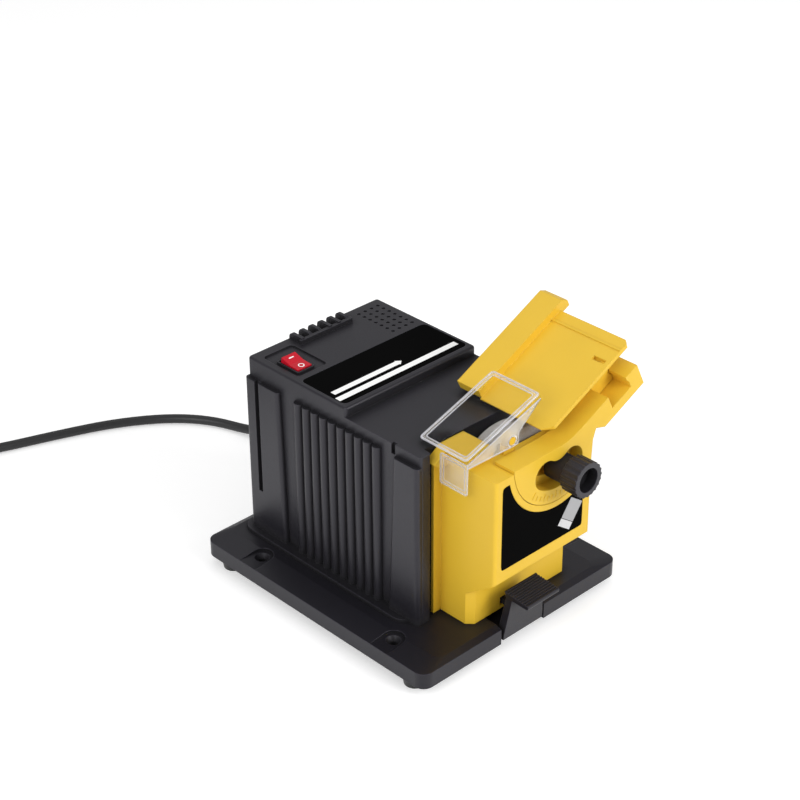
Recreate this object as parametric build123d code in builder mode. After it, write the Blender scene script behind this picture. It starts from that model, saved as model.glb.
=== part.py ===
from build123d import *
import os
from math import acos, asin, atan2, cos, degrees, pi, radians, sin, tan

# Bench sharpener with a chisel and plane attachment, in millimetres.
# The bench is at Z = 0, the label side faces -Y, and the origin is under the middle of the four fixing holes.

os.makedirs("parts", exist_ok=True)

# Clearances
overrun = 5.0
slide_gap = 0.4
running_gap = 0.05
rest_gap = 0.3

# Base plate
base_left = -91.5
base_right = 95.0
base_front_land = 15.1
base_rear_land = 12.5
base_corner = 8.0
base_wall = 3.5
base_rim_height = 11.5
base_crown = 2.0
crown_run = 18.0
crown_end_run = 5.0
foot_height = 7.0
foot_r = 8.5
foot_draft = 1.2
foot_stem_r = 3.0
foot_stem = 6.0
foot_inset_x = 10.0
foot_inset_y = 18.0
foot_boss_r = 9.0
fix_spacing_x = 156.0
fix_spacing_y = 130.0
fix_hole_r = 2.6
fix_head_r = 5.2
fix_pocket_r = 8.0
fix_boss_r = 9.0

# Motor housing
housing_left = -56.0
housing_right = 63.0
housing_front = -61.5
housing_rear = 97.5
housing_wall = 3.0
housing_corner = 2.5
deck_top = 148.4
slab_top = 155.4
slab_front = 0.5
slab_round = 1.8
flange_out = 9.0
flange_rear_out = 5.0
flange_height = 2.2
flange_corner = 11.0
pillar_proud = 3.6
pillar_top = 141.0
pillar_round = 3.0
rear_pillar_length = 33.5
front_pillar_length = 22.2
rear_pillar_spread = 3.5
front_pillar_spread = 5.8
horn_reach = 6.5
left_horn = 9.0
right_horn = 6.0
horn_round = 2.0
horn_root = 10.0
rib_count = 10
rib_first_y = -33.0
rib_last_y = 50.2
rib_gap = 0.7
pillar_slot_width = 4.0
pillar_slot_depth = 3.0
pillar_slot_inset = 12.2
pillar_slot_foot = 55.0
deck_notch_y = -43.2
deck_notch_width = 3.4
deck_notch_depth = 2.4
panel_recess = 0.5
panel_left = -53.0
panel_right = 60.0
panel_front = 5.0
panel_rear = 47.5
panel_corner = 4.0
rack_left = -19.0
rack_right = 25.5
rack_depth = 12.9
rack_drop = 6.0
rack_rise = 4.0
rack_round = 3.6
rack_rib_count = 6
rack_rib_width = 2.4
rack_bar_width = 2.6
rack_bar_height = 3.2
rack_bar_overhang = 1.6
dimple_r = 1.5
dimple_sides = 6
dimple_depth = 0.8
dimple_left = 37.2
dimple_right = 55.3
dimple_front = 54.2
dimple_rear = 88.5
dimple_columns = 4
dimple_rows = 7
screw_r = 2.0
screw_head_r = 3.6
screw_head = 2.6
screw_post_r = 5.0
screw_post_height = 34.0
screw_boss_r = 6.5
screw_inset = 7.5

# Motor and spindle, all on one axis along Y
axis_x = 9.3
axis_z = 111.7
stator_side = 64.0
stator_length = 40.0
stator_front = -30.0
stator_corner = 5.0
yoke_bore_r = 27.0
pole_width = 14.0
stator_bore_r = 20.5
rotor_gap = 0.5
coil_build = 5.6
coil_depth = 4.4
coil_overhang = 8.0
shaft_r = 4.0
bracket_thick = 4.0
bracket_width = 64.0
bracket_corner = 6.0
bracket_foot = 13.0
bearing_r = 11.0
bearing_width = 7.0
bearing_boss_r = 15.0
bearing_groove = 0.6
bearing_race = 2.4
motor_bolt_r = 2.0
motor_bolt_inset = 5.5
motor_bolt_head_r = 3.6
motor_bolt_head = 3.0
spacer_r = 4.0
spacer_length = 10.0
bracket_screw_spacing = 46.0
fan_r = 30.0
fan_hub_r = 8.0
fan_length = 10.0
fan_plate = 1.6
fan_blade = 1.6
fan_blade_count = 9
fan_behind = 4.0
shaft_tail = 3.0
wheel_r = 37.0
wheel_width = 15.0
wheel_bore_r = 6.4
wheel_edge = 0.8
hub_flange_r = 13.0
hub_flange = 2.2
wheel_wall_gap = 6.5
washer_thick = 2.0
nut_flats = 13.0
nut_height = 4.5
shaft_nose = 1.0
spindle_hole_r = 9.0

# Rocker switch, in a shallow recess
recess_left = -50.5
recess_right = -24.5
recess_front = 52.5
recess_rear = 88.5
recess_corner = 3.0
recess_depth = 1.2
switch_x = -40.5
switch_y = 66.5
switch_width = 15.0
switch_length = 22.0
switch_bezel = 1.8
switch_body_inset = 1.0
switch_body_drop = 15.0
switch_rim = 1.2
switch_tab_width = 4.8
switch_tab_thick = 0.8
switch_tab_drop = 7.0
switch_tab_pitch = 7.0
switch_corner = 1.5
rocker_tilt = 10.0
rocker_rise = 3.4
rocker_dip = 2.2
rocker_pivot_drop = 4.0
rocker_root_r = 3.4

# Inside the rear of the housing
terminal_x = -22.0
terminal_y = 70.0
terminal_width = 30.0
terminal_depth = 14.0
terminal_height = 15.0
terminal_ways = 3
terminal_screw_r = 2.2

# Attachment body
att_left = -34.4
att_right = 54.6
att_front = -112.0
att_top = 140.0
att_deck_top = 147.5
att_deck_rim = 2.4
att_wall = 3.0
att_corner = 2.5
att_lower_front = -91.4
att_ledge_z = 63.0
att_ledge_root_z = 48.0
att_lower_chamfer = 4.5
att_flange_out = 6.6
att_flange_thick = 2.4
att_ear_out = 11.6
att_ear_depth = 8.0
att_ear_foot_z = 135.5
att_ear_tip_z = 139.5
strip_rear = -88.5
strip_front = -94.6
right_wall_top = 126.0
opening_left = -12.6
strip_end = 46.0
label_inset_left = 6.0
label_inset_right = 6.4
label_foot_z = 71.5
label_top_inset = 5.7
label_arc_gap = 4.3
label_depth = 0.7
label_corner = 4.0

# Angle arm, turning in the round pocket of the attachment
pivot_x = 23.0
pivot_z = 144.0
arm_slope = 26.0
disc_r = 41.3
arm_rear = -95.0
arm_back = -70.0
arm_flat_end = -9.0
arm_flat_z = 142.0
ramp_v = -6.0
ramp_start_u = 20.0
groove_start_u = 47.8
groove_end_u = 67.4
groove_floor_v = -16.7
nib = 1.4
nib_drop = 3.0
nib_height = 2.6
block_start_u = 37.1
block_end_u = 78.0
block_foot_v = -24.1
heel_u = 30.3
heel_v = -17.8
skirt_u = 24.6
skirt_v = -23.5
arc_width = 20.3
arc_ledge = 7.0
arc_radius = 21.3
arc_from = -148.0
arc_sweep = 68.4
knob_angle = -73.1

# Clamp knob and its stud
stud_r = 4.0
stud_head_r = 7.0
stud_head = 3.0
sleeve_r = 9.7
knob_r = 12.6
knob_length = 13.0
knob_reach = 20.0
knob_ridge_r = 1.2
knob_ridges = 20
knob_hollow_r = 8.6
knob_hollow_depth = 8.0
stud_end_gap = 1.2

# Tool carriage
floor_v = 9.6
floor_thick = 3.0
floor_low_u = -0.9
floor_high_u = 82.8
floor_front = -106.3
floor_back = -47.2
fence_back = -27.6
fence_height = 6.0
fence_low_u = 0.5
fence_high_u = 91.0
fence_chamfer = 4.0
low_corner = 6.0
high_corner = 3.0
low_relief_u = 6.5
low_edge = 1.0
rail_front = -97.0
tool_slot_u = 61.5
tool_slot_width = 3.0
tool_slot_front = -103.0
tool_slot_back = -93.0
end_rim_u = 74.0
end_rim_height = 0.8
end_rim_width = 1.6
gusset_thick = 3.0
gusset_low_u = 12.0
gusset_foot_u = 38.5

# Eye shield
shield_low_x = -42.0
shield_low_z = 149.4
shield_high_x = 23.5
shield_high_z = 171.0
shield_rear = -53.5
shield_front = -94.3
shield_thick = 2.0
shield_rim_width = 3.0
shield_rim = 1.0
shield_panel = 1.8
shield_pin_x = -2.0
shield_pin_z = 149.8
shield_pin_r = 2.8
shield_boss_r = 5.0
shield_boss = 0.5
panel_foot_z = 146.6
panel_nose_x = 3.2
flap_foot_z = 126.0
flap_thick = 1.8
flap_frame = 3.0
flap_recess = 0.7
pin_ear_thick = 3.4
pin_ear_r = 5.0
pin_ear_half = 5.0

# Release latch in the front of the base
latch_slot_half = 20.3
latch_slot_depth = 22.5
latch_foot_half = 18.4
latch_top_half = 14.8
latch_pivot_inset = 28.5
latch_pivot_z = 11.2
latch_pin_r = 1.5
latch_knuckle_r = 3.2
latch_lug = 4.5
latch_lever = 4.0
latch_neck_z = 40.5
latch_top_z = 45.2
latch_lean = 3.4
latch_thick = 5.4
pad_overlap = 3.3
pad_reach = 17.5
pad_nose_z = 43.4
pad_lip = 3.2
pad_nose_round = 1.2
pad_ridges = 10
pad_ridge_depth = 0.7
hook_half = 5.0
hook_z = 24.4
hook_height = 4.0
hook_bite = 1.5
hook_window_gap = 1.2

# Mains cord, laid on the bench behind the machine
cord_r = 3.6
cord_sides = 8
gland_x = 42.0
gland_z = 34.0
gland_length = 30.5
gland_root_r = 7.0
gland_tip_r = 5.0
gland_collar_r = 9.5
gland_collar = 3.0
gland_ring_count = 4
gland_ring_depth = 0.8
gland_ring_width = 2.2
cord_points = [
    (gland_x, housing_rear + gland_length, gland_z),
    (42.0, 148.0, 34.0),
    (42.5, 172.0, 24.0),
    (42.0, 196.0, 10.0),
    (38.5, 220.0, 3.7),
    (28.0, 250.0, 3.7),
    (7.0, 276.0, 3.7),
    (-29.0, 300.0, 3.7),
    (-72.0, 317.0, 3.7),
    (-115.0, 332.0, 3.7),
    (-148.0, 345.0, 5.3),
    (-177.7, 359.5, 5.3),
]
coil_gap = 0.6
coil_mid_r = 43.2
coil_climb_turns = 0.5
coil_tail = 50.0
coil_whole_turns = 5
coil_end_angle = 180.0
coil_steps_per_turn = 4
tie_width = 11.0
tie_thick = 1.2
tie_angle = -75.0
tie_gap = 0.8
plug_width = 36.0
plug_height = 26.0
plug_length = 34.0
plug_neck_length = 22.0
plug_neck_tip_r = 5.4
plug_neck_root_r = 8.0
plug_corner = 11.0
plug_shoulder = 5.0
plug_pin_r = 2.4
plug_pin_length = 19.0
plug_pin_spacing = 19.0

# Places that follow from the sizes above
base_bottom = foot_height
base_rim_top = base_bottom + base_rim_height
base_top = base_rim_top + base_crown
base_ceiling = base_rim_top - base_wall
base_front = att_lower_front - base_front_land
base_rear = housing_rear + base_rear_land
base_width = base_right - base_left
base_depth = base_rear - base_front
base_mid = ((base_left + base_right) / 2, (base_front + base_rear) / 2)
foot_places = [
    (x, y)
    for x in (base_left + foot_inset_x, base_right - foot_inset_x)
    for y in (base_front + foot_inset_y, base_rear - foot_inset_y)
]
fix_places = [(sx * fix_spacing_x / 2, sy * fix_spacing_y / 2) for sx in (-1, 1) for sy in (-1, 1)]
housing_mid_x = (housing_left + housing_right) / 2
housing_mid_y = (housing_front + housing_rear) / 2
housing_width = housing_right - housing_left
housing_depth = housing_rear - housing_front
slab_mid_y = (slab_front + housing_rear) / 2
slab_depth = housing_rear - slab_front
screw_places = [
    (x, y)
    for x in (housing_left + screw_inset, housing_right - screw_inset)
    for y in (housing_front + screw_inset, housing_rear - screw_inset)
]
stator_back = stator_front + stator_length
front_bracket_back = stator_front - spacer_length
rear_bracket_front = stator_back + spacer_length
bolt_place = stator_side / 2 - motor_bolt_inset
bolt_places = [(axis_x + sx * bolt_place, axis_z + sz * bolt_place) for sx in (-1, 1) for sz in (-1, 1)]
bracket_screw_places = [
    (axis_x + sx * bracket_screw_spacing / 2, y)
    for sx in (-1, 1)
    for y in (
        front_bracket_back - bracket_thick - bracket_foot / 2,
        rear_bracket_front + bracket_thick + bracket_foot / 2,
    )
]
wheel_back = housing_front - wheel_wall_gap - hub_flange
wheel_front = wheel_back - wheel_width
nut_back = wheel_front - washer_thick
shaft_front = nut_back - nut_height - shaft_nose
fan_front = rear_bracket_front + (bracket_thick + bearing_width) / 2 + fan_behind
shaft_back = fan_front + fan_length + shaft_tail
att_rear = housing_front - slide_gap
att_mid_x = (att_left + att_right) / 2
well_r = disc_r + slide_gap
slope = radians(arm_slope)
slope_cos = cos(slope)
slope_sin = sin(slope)
knob_x = pivot_x + arc_radius * cos(radians(knob_angle))
knob_z = pivot_z + arc_radius * sin(radians(knob_angle))
arc_step = arm_rear - arc_ledge
sleeve_back = arc_step - slide_gap
knob_back = att_front - knob_reach + knob_length
knob_face = att_front - knob_reach
stud_front = knob_face + knob_hollow_depth + stud_end_gap
front_pillar_y = housing_front - horn_reach
latch_pivot_y = base_front + latch_pivot_inset
pad_rear = base_front + pad_overlap
pad_front = base_front - pad_reach
hook_tip = att_lower_front + hook_bite
switch_seat = slab_top - recess_depth
flap_rear = att_rear - att_ear_depth - slide_gap
coil_pitch = 2 * cord_r + coil_gap


def level(z):
    """A level plane at height z."""
    return Plane.XY.offset(z)


def upright(y):
    """An upright plane at depth y: its x is X, its y is Z, and it faces the front."""
    return Plane.XZ.offset(-y)


def sideways(x):
    """An upright plane at x: its x is Y, its y is Z, and it faces +X."""
    return Plane.YZ.offset(x)


def sloped(y):
    """The arm's plane at depth y: its origin is on the pivot and its x runs up the slope."""
    return Plane((pivot_x, y, pivot_z), x_dir=(slope_cos, 0, slope_sin), z_dir=(0, -1, 0))


def block(x, y, z, mode=Mode.ADD):
    """A box between the pairs of limits x, y and z."""
    spans = [(abs(b - a), (a + b) / 2) for a, b in (x, y, z)]
    with Locations(tuple(mid for _, mid in spans)):
        Box(*(span for span, _ in spans), mode=mode)


def rod_x(y, z, x, radius, mode=Mode.ADD):
    """A round bar along X between the limits x."""
    with Locations(Location(((x[0] + x[1]) / 2, y, z), (0, 90, 0))):
        Cylinder(radius, abs(x[1] - x[0]), mode=mode)


def rod_y(x, z, y, radius, mode=Mode.ADD):
    """A round bar along Y between the limits y."""
    with Locations(Location((x, (y[0] + y[1]) / 2, z), (90, 0, 0))):
        Cylinder(radius, abs(y[1] - y[0]), mode=mode)


def rod_z(x, y, z, radius, mode=Mode.ADD):
    """A round bar along Z between the limits z."""
    with Locations((x, y, (z[0] + z[1]) / 2)):
        Cylinder(radius, abs(z[1] - z[0]), mode=mode)


# Base plate: a shallow tray turned over, with bosses under its holes and a slot for the latch
with BuildPart() as base_plate:
    with BuildSketch(level(base_bottom)):
        with Locations(base_mid):
            RectangleRounded(base_width, base_depth, base_corner)
    extrude(amount=base_rim_height)
    with BuildSketch(level(base_rim_top)):
        with Locations(base_mid):
            RectangleRounded(base_width, base_depth, base_corner)
    with BuildSketch(level(base_top)):
        with Locations(base_mid):
            RectangleRounded(base_width - 2 * crown_run, base_depth - 2 * crown_end_run, base_corner)
    loft()
    with BuildSketch(level(base_bottom)):
        with Locations(base_mid):
            RectangleRounded(base_width - 2 * base_wall, base_depth - 2 * base_wall, base_corner - base_wall)
    extrude(amount=base_ceiling - base_bottom, mode=Mode.SUBTRACT)
    with BuildSketch(level(base_bottom)):
        with Locations(*foot_places):
            Circle(foot_boss_r)
        with Locations(*fix_places):
            Circle(fix_boss_r)
        with Locations(*screw_places):
            Circle(screw_boss_r)
    extrude(amount=base_ceiling - base_bottom)
    for side in (-1, 1):
        lug_x = (side * (latch_foot_half + slide_gap), side * (latch_foot_half + slide_gap + latch_lug))
        lug_y = (latch_pivot_y - latch_knuckle_r - slide_gap, latch_pivot_y + latch_knuckle_r)
        block(lug_x, lug_y, (base_bottom + rest_gap, base_ceiling))
    slot_x = (-latch_slot_half, latch_slot_half)
    slot_y = (base_front - overrun, base_front + latch_slot_depth)
    block(slot_x, slot_y, (base_bottom - overrun, base_top + overrun), Mode.SUBTRACT)
    for x, y in fix_places:
        pocket_x = (x, base_right + overrun if x > 0 else base_left - overrun)
        rod_z(x, y, (base_rim_top, base_top + overrun), fix_pocket_r, Mode.SUBTRACT)
        block(pocket_x, (y - fix_pocket_r, y + fix_pocket_r), (base_rim_top, base_top + overrun), Mode.SUBTRACT)
    with Locations(*((x, y, base_rim_top) for x, y in fix_places)):
        CounterSinkHole(fix_hole_r, fix_head_r)
    for x, y in foot_places:
        rod_z(x, y, (base_bottom - overrun, base_bottom + foot_stem), foot_stem_r, Mode.SUBTRACT)
    for x, y in screw_places:
        rod_z(x, y, (base_bottom - overrun, base_top + overrun), screw_r, Mode.SUBTRACT)
        rod_z(x, y, (base_bottom - overrun, base_bottom + screw_head), screw_head_r, Mode.SUBTRACT)
    for x, y in bracket_screw_places:
        rod_z(x, y, (base_bottom, base_top + overrun), screw_r, Mode.SUBTRACT)
    latch_pin_half = latch_foot_half + slide_gap + latch_lug
    rod_x(latch_pivot_y, latch_pivot_z, (-latch_pin_half, latch_pin_half), latch_pin_r, Mode.SUBTRACT)
base_plate.part.label = "base_plate"
export_step(base_plate.part, "parts/base_plate.step")

# Rubber feet: tapered pads with stems that plug into the base
with BuildPart() as rubber_feet:
    with Locations(*((x, y, foot_height / 2) for x, y in foot_places)):
        Cone(foot_r - foot_draft, foot_r, foot_height)
    for x, y in foot_places:
        rod_z(x, y, (foot_height, foot_height + foot_stem), foot_stem_r)
rubber_feet.part.label = "rubber_feet"
export_step(rubber_feet.part, "parts/rubber_feet.step")

# Motor housing: an open-bottomed shell with a step in its top and ribbed sides
with BuildPart() as motor_housing:
    with BuildSketch(level(base_top)):
        with Locations((housing_mid_x, housing_mid_y)):
            RectangleRounded(housing_width, housing_depth, housing_corner)
    extrude(amount=deck_top - base_top)
    with BuildSketch(level(base_top)):
        for side_x, horn in ((housing_left, left_horn), (housing_right, -right_horn)):
            with Locations((side_x + horn / 2, housing_front - horn_reach / 2 + horn_root / 2)):
                RectangleRounded(abs(horn), horn_reach + horn_root, horn_round)
    extrude(amount=deck_top - base_top)
    with BuildSketch(level(deck_top)):
        with Locations((housing_mid_x, slab_mid_y)):
            RectangleRounded(housing_width, slab_depth, housing_corner)
    extrude(amount=slab_top - deck_top)
    fillet(motor_housing.faces().sort_by(Axis.Z)[-1].edges(), slab_round)
    with BuildSketch(level(base_top)):
        with Locations((housing_mid_x, housing_mid_y + flange_rear_out / 2)):
            RectangleRounded(housing_width + 2 * flange_out, housing_depth + flange_rear_out, flange_corner)
    extrude(amount=flange_height)
    # Corner pillars that spread to the base, and rounded ribs between them
    pillar_depth = pillar_proud + housing_wall
    for side_x in (housing_left, housing_right):
        out = -1 if side_x == housing_left else 1
        pillar_x = side_x + out * (pillar_proud - housing_wall) / 2
        for corner_y, length, spread in (
            (housing_rear, -rear_pillar_length, -rear_pillar_spread),
            (front_pillar_y, front_pillar_length, front_pillar_spread),
        ):
            for z, reach in ((base_top, length + spread), (pillar_top, length)):
                with BuildSketch(level(z)):
                    with Locations((pillar_x, corner_y + reach / 2)):
                        RectangleRounded(pillar_depth, abs(reach), pillar_round)
            loft()
    rib_pitch = (rib_last_y - rib_first_y) / rib_count
    with BuildSketch(level(base_top)):
        for side_x in (housing_left, housing_right):
            with Locations((side_x, (rib_first_y + rib_last_y) / 2)):
                with GridLocations(rib_pitch, rib_pitch, 1, rib_count):
                    Circle((rib_pitch - rib_gap) / 2)
    extrude(amount=pillar_top - base_top)
    # The hollow inside, under the deck and under the higher slab
    with BuildSketch(level(base_top)):
        with Locations((housing_mid_x, housing_mid_y)):
            Rectangle(housing_width - 2 * housing_wall, housing_depth - 2 * housing_wall)
    extrude(amount=deck_top - housing_wall - base_top, mode=Mode.SUBTRACT)
    with BuildSketch(level(deck_top - housing_wall)):
        with Locations((housing_mid_x, slab_mid_y)):
            Rectangle(housing_width - 2 * housing_wall, slab_depth - 2 * housing_wall)
    extrude(amount=slab_top - deck_top, mode=Mode.SUBTRACT)
    # Posts for the screws that come up through the base
    for x, y in screw_places:
        rod_z(x, y, (base_top, base_top + screw_post_height), screw_post_r)
        rod_z(x, y, (base_top, base_top + screw_post_height), screw_r, Mode.SUBTRACT)
    # Grooves down the sides
    for side_x in (housing_left, housing_right):
        out = -1 if side_x == housing_left else 1
        pillar_face = side_x + out * pillar_proud
        pillar_slot_y = housing_rear - pillar_slot_inset
        block(
            (pillar_face + out * overrun, pillar_face - out * pillar_slot_depth),
            (pillar_slot_y - pillar_slot_width / 2, pillar_slot_y + pillar_slot_width / 2),
            (pillar_slot_foot, pillar_top + overrun),
            Mode.SUBTRACT,
        )
        block(
            (side_x + out * overrun, side_x - out * deck_notch_depth),
            (deck_notch_y - deck_notch_width / 2, deck_notch_y + deck_notch_width / 2),
            (pillar_top, deck_top + overrun),
            Mode.SUBTRACT,
        )
    # Shallow bed for the plate on top
    with BuildSketch(level(slab_top)):
        with Locations(((panel_left + panel_right) / 2, (panel_front + panel_rear) / 2)):
            RectangleRounded(panel_right - panel_left, panel_rear - panel_front, panel_corner)
    extrude(amount=-panel_recess, mode=Mode.SUBTRACT)
    # Vent rack in the rear top edge: an open bay, fingers that stand up across it, and a bar in front
    rack_y = housing_rear - rack_depth
    rack_z = slab_top - rack_drop
    rack_top = slab_top + rack_rise
    block((rack_left, rack_right), (rack_y, housing_rear + overrun), (rack_z, slab_top + overrun), Mode.SUBTRACT)
    rack_pitch = (rack_right - rack_left - rack_rib_width) / (rack_rib_count - 1)
    for rib in range(rack_rib_count):
        with BuildSketch(sideways(rack_left + rib * rack_pitch)) as finger:
            with BuildLine():
                Polyline(
                    (rack_y, rack_z),
                    (housing_rear, rack_z),
                    (housing_rear, rack_top),
                    (rack_y, rack_top),
                    close=True,
                )
            make_face()
            fillet(finger.vertices().sort_by(Axis.Z)[-2:], rack_round)
        extrude(amount=rack_rib_width)
    with BuildSketch(level(slab_top - housing_wall)):
        with Locations(((rack_left + rack_right) / 2, rack_y)):
            SlotOverall(rack_right - rack_left + 2 * rack_bar_overhang, rack_bar_width)
    extrude(amount=housing_wall + rack_bar_height)
    # Dimples in rows
    dimple_step_x = (dimple_right - dimple_left) / (dimple_columns - 1)
    dimple_step_y = (dimple_rear - dimple_front) / (dimple_rows - 1)
    with BuildSketch(level(slab_top)):
        with Locations(((dimple_left + dimple_right) / 2, (dimple_front + dimple_rear) / 2)):
            with GridLocations(dimple_step_x, dimple_step_y, dimple_columns, dimple_rows):
                RegularPolygon(dimple_r, dimple_sides)
    extrude(amount=-dimple_depth, mode=Mode.SUBTRACT)
    # Shallow recess round the switch
    with BuildSketch(level(slab_top)):
        with Locations(((recess_left + recess_right) / 2, (recess_front + recess_rear) / 2)):
            RectangleRounded(recess_right - recess_left, recess_rear - recess_front, recess_corner)
    extrude(amount=-recess_depth, mode=Mode.SUBTRACT)
    # Openings for the spindle, the cord gland and the switch
    spindle_span = (housing_front - overrun, housing_front + housing_wall + overrun)
    rod_y(axis_x, axis_z, spindle_span, spindle_hole_r, Mode.SUBTRACT)
    gland_span = (housing_rear - housing_wall - overrun, housing_rear + overrun)
    rod_y(gland_x, gland_z, gland_span, gland_root_r, Mode.SUBTRACT)
    body_half_x = switch_width / 2 - switch_body_inset
    body_half_y = switch_length / 2 - switch_body_inset
    block(
        (switch_x - body_half_x, switch_x + body_half_x),
        (switch_y - body_half_y, switch_y + body_half_y),
        (slab_top - housing_wall - overrun, slab_top + overrun),
        Mode.SUBTRACT,
    )
motor_housing.part.label = "motor_housing"
export_step(motor_housing.part, "parts/motor_housing.step")

# Screws from below into the housing posts, and screws that hold the two brackets
with BuildPart() as housing_screws:
    for x, y in screw_places:
        rod_z(x, y, (base_bottom, base_bottom + screw_head), screw_head_r)
        rod_z(x, y, (base_bottom, base_top + screw_post_height / 2), screw_r)
housing_screws.part.label = "housing_screws"
export_step(housing_screws.part, "parts/housing_screws.step")

with BuildPart() as bracket_screws:
    for x, y in bracket_screw_places:
        rod_z(x, y, (base_ceiling - screw_head, base_ceiling), screw_head_r)
        rod_z(x, y, (base_ceiling, base_top + bracket_thick), screw_r)
bracket_screws.part.label = "bracket_screws"
export_step(bracket_screws.part, "parts/bracket_screws.step")

# Bearing brackets: upright plates with a foot each, a round bearing seat and four bolt holes
bracket_height = axis_z + stator_side / 2 - base_top
bracket_mid_z = base_top + bracket_height / 2
with BuildPart() as front_bearing_bracket:
    with BuildSketch(upright(front_bracket_back)):
        with Locations((axis_x, bracket_mid_z)):
            RectangleRounded(bracket_width, bracket_height, bracket_corner)
    extrude(amount=bracket_thick)
    front_foot_y = (front_bracket_back - bracket_thick - bracket_foot, front_bracket_back)
    foot_span_x = (axis_x - bracket_width / 2, axis_x + bracket_width / 2)
    block(foot_span_x, front_foot_y, (base_top, base_top + bracket_thick))
    front_seat_mid = front_bracket_back - bracket_thick / 2
    front_seat = (front_seat_mid - bearing_width / 2, front_seat_mid + bearing_width / 2)
    rod_y(axis_x, axis_z, front_seat, bearing_boss_r)
    rod_y(axis_x, axis_z, front_seat, bearing_r, Mode.SUBTRACT)
    for x, z in bolt_places:
        rod_y(x, z, (front_bracket_back - bracket_thick, front_bracket_back), motor_bolt_r, Mode.SUBTRACT)
    for x, y in bracket_screw_places:
        rod_z(x, y, (base_top, base_top + bracket_thick), screw_r, Mode.SUBTRACT)
front_bearing_bracket.part.label = "front_bearing_bracket"
export_step(front_bearing_bracket.part, "parts/front_bearing_bracket.step")

with BuildPart() as rear_bearing_bracket:
    with BuildSketch(upright(rear_bracket_front + bracket_thick)):
        with Locations((axis_x, bracket_mid_z)):
            RectangleRounded(bracket_width, bracket_height, bracket_corner)
    extrude(amount=bracket_thick)
    rear_foot_y = (rear_bracket_front, rear_bracket_front + bracket_thick + bracket_foot)
    block(foot_span_x, rear_foot_y, (base_top, base_top + bracket_thick))
    rear_seat_mid = rear_bracket_front + bracket_thick / 2
    rear_seat = (rear_seat_mid - bearing_width / 2, rear_seat_mid + bearing_width / 2)
    rod_y(axis_x, axis_z, rear_seat, bearing_boss_r)
    rod_y(axis_x, axis_z, rear_seat, bearing_r, Mode.SUBTRACT)
    for x, z in bolt_places:
        rod_y(x, z, (rear_bracket_front, rear_bracket_front + bracket_thick), motor_bolt_r, Mode.SUBTRACT)
    for x, y in bracket_screw_places:
        rod_z(x, y, (base_top, base_top + bracket_thick), screw_r, Mode.SUBTRACT)
rear_bearing_bracket.part.label = "rear_bearing_bracket"
export_step(rear_bearing_bracket.part, "parts/rear_bearing_bracket.step")

# Ball bearings as closed rings with a groove between the races on both faces
with BuildPart() as front_bearing:
    rod_y(axis_x, axis_z, front_seat, bearing_r)
    for face_y in front_seat:
        groove_y = (face_y - bearing_groove, face_y + bearing_groove)
        rod_y(axis_x, axis_z, groove_y, bearing_r - bearing_race, Mode.SUBTRACT)
    rod_y(axis_x, axis_z, front_seat, shaft_r + bearing_race)
    rod_y(axis_x, axis_z, front_seat, shaft_r + running_gap, Mode.SUBTRACT)
front_bearing.part.label = "front_bearing"
export_step(front_bearing.part, "parts/front_bearing.step")

with BuildPart() as rear_bearing:
    rod_y(axis_x, axis_z, rear_seat, bearing_r)
    for face_y in rear_seat:
        groove_y = (face_y - bearing_groove, face_y + bearing_groove)
        rod_y(axis_x, axis_z, groove_y, bearing_r - bearing_race, Mode.SUBTRACT)
    rod_y(axis_x, axis_z, rear_seat, shaft_r + bearing_race)
    rod_y(axis_x, axis_z, rear_seat, shaft_r + running_gap, Mode.SUBTRACT)
rear_bearing.part.label = "rear_bearing"
export_step(rear_bearing.part, "parts/rear_bearing.step")

# Stator: a square yoke with four poles that reach in to the rotor
with BuildPart() as stator_core:
    with BuildSketch(upright(stator_back)):
        with Locations((axis_x, axis_z)):
            RectangleRounded(stator_side, stator_side, stator_corner)
            Circle(yoke_bore_r, mode=Mode.SUBTRACT)
            Rectangle(2 * yoke_bore_r + stator_corner, pole_width)
            Rectangle(pole_width, 2 * yoke_bore_r + stator_corner)
            Circle(stator_bore_r, mode=Mode.SUBTRACT)
        with Locations(*bolt_places):
            Circle(motor_bolt_r, mode=Mode.SUBTRACT)
    extrude(amount=stator_length)
stator_core.part.label = "stator_core"
export_step(stator_core.part, "parts/stator_core.step")

# Field windings: one wound block around each pole
stator_mid = (stator_front + stator_back) / 2
with BuildPart() as stator_windings:
    coil_out = yoke_bore_r - rest_gap
    for turn in range(4):
        pole_dir = (cos(turn * pi / 2), 0, sin(turn * pi / 2))
        reach = coil_out - coil_depth
        pole_origin = (axis_x + reach * pole_dir[0], stator_mid, axis_z + reach * pole_dir[2])
        with BuildSketch(Plane(pole_origin, x_dir=(0, 1, 0), z_dir=pole_dir)):
            RectangleRounded(stator_length + 2 * coil_overhang, pole_width + 2 * coil_build, coil_build)
            Rectangle(stator_length + 2 * rest_gap, pole_width + 2 * rest_gap, mode=Mode.SUBTRACT)
        extrude(amount=coil_depth)
    rod_y(axis_x, axis_z, (stator_front - coil_overhang, stator_back + coil_overhang), coil_out, Mode.INTERSECT)
stator_windings.part.label = "stator_windings"
export_step(stator_windings.part, "parts/stator_windings.step")

# Long bolts through both brackets and the stator, with the tubes that space them
with BuildPart() as motor_bolts:
    bolt_head_y = front_bracket_back - bracket_thick
    bolt_tail_y = rear_bracket_front + bracket_thick
    for x, z in bolt_places:
        rod_y(x, z, (bolt_head_y, bolt_tail_y + motor_bolt_head), motor_bolt_r)
        rod_y(x, z, (bolt_head_y - motor_bolt_head, bolt_head_y), motor_bolt_head_r)
        rod_y(x, z, (bolt_tail_y, bolt_tail_y + motor_bolt_head), motor_bolt_head_r)
motor_bolts.part.label = "motor_bolts"
export_step(motor_bolts.part, "parts/motor_bolts.step")

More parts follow.
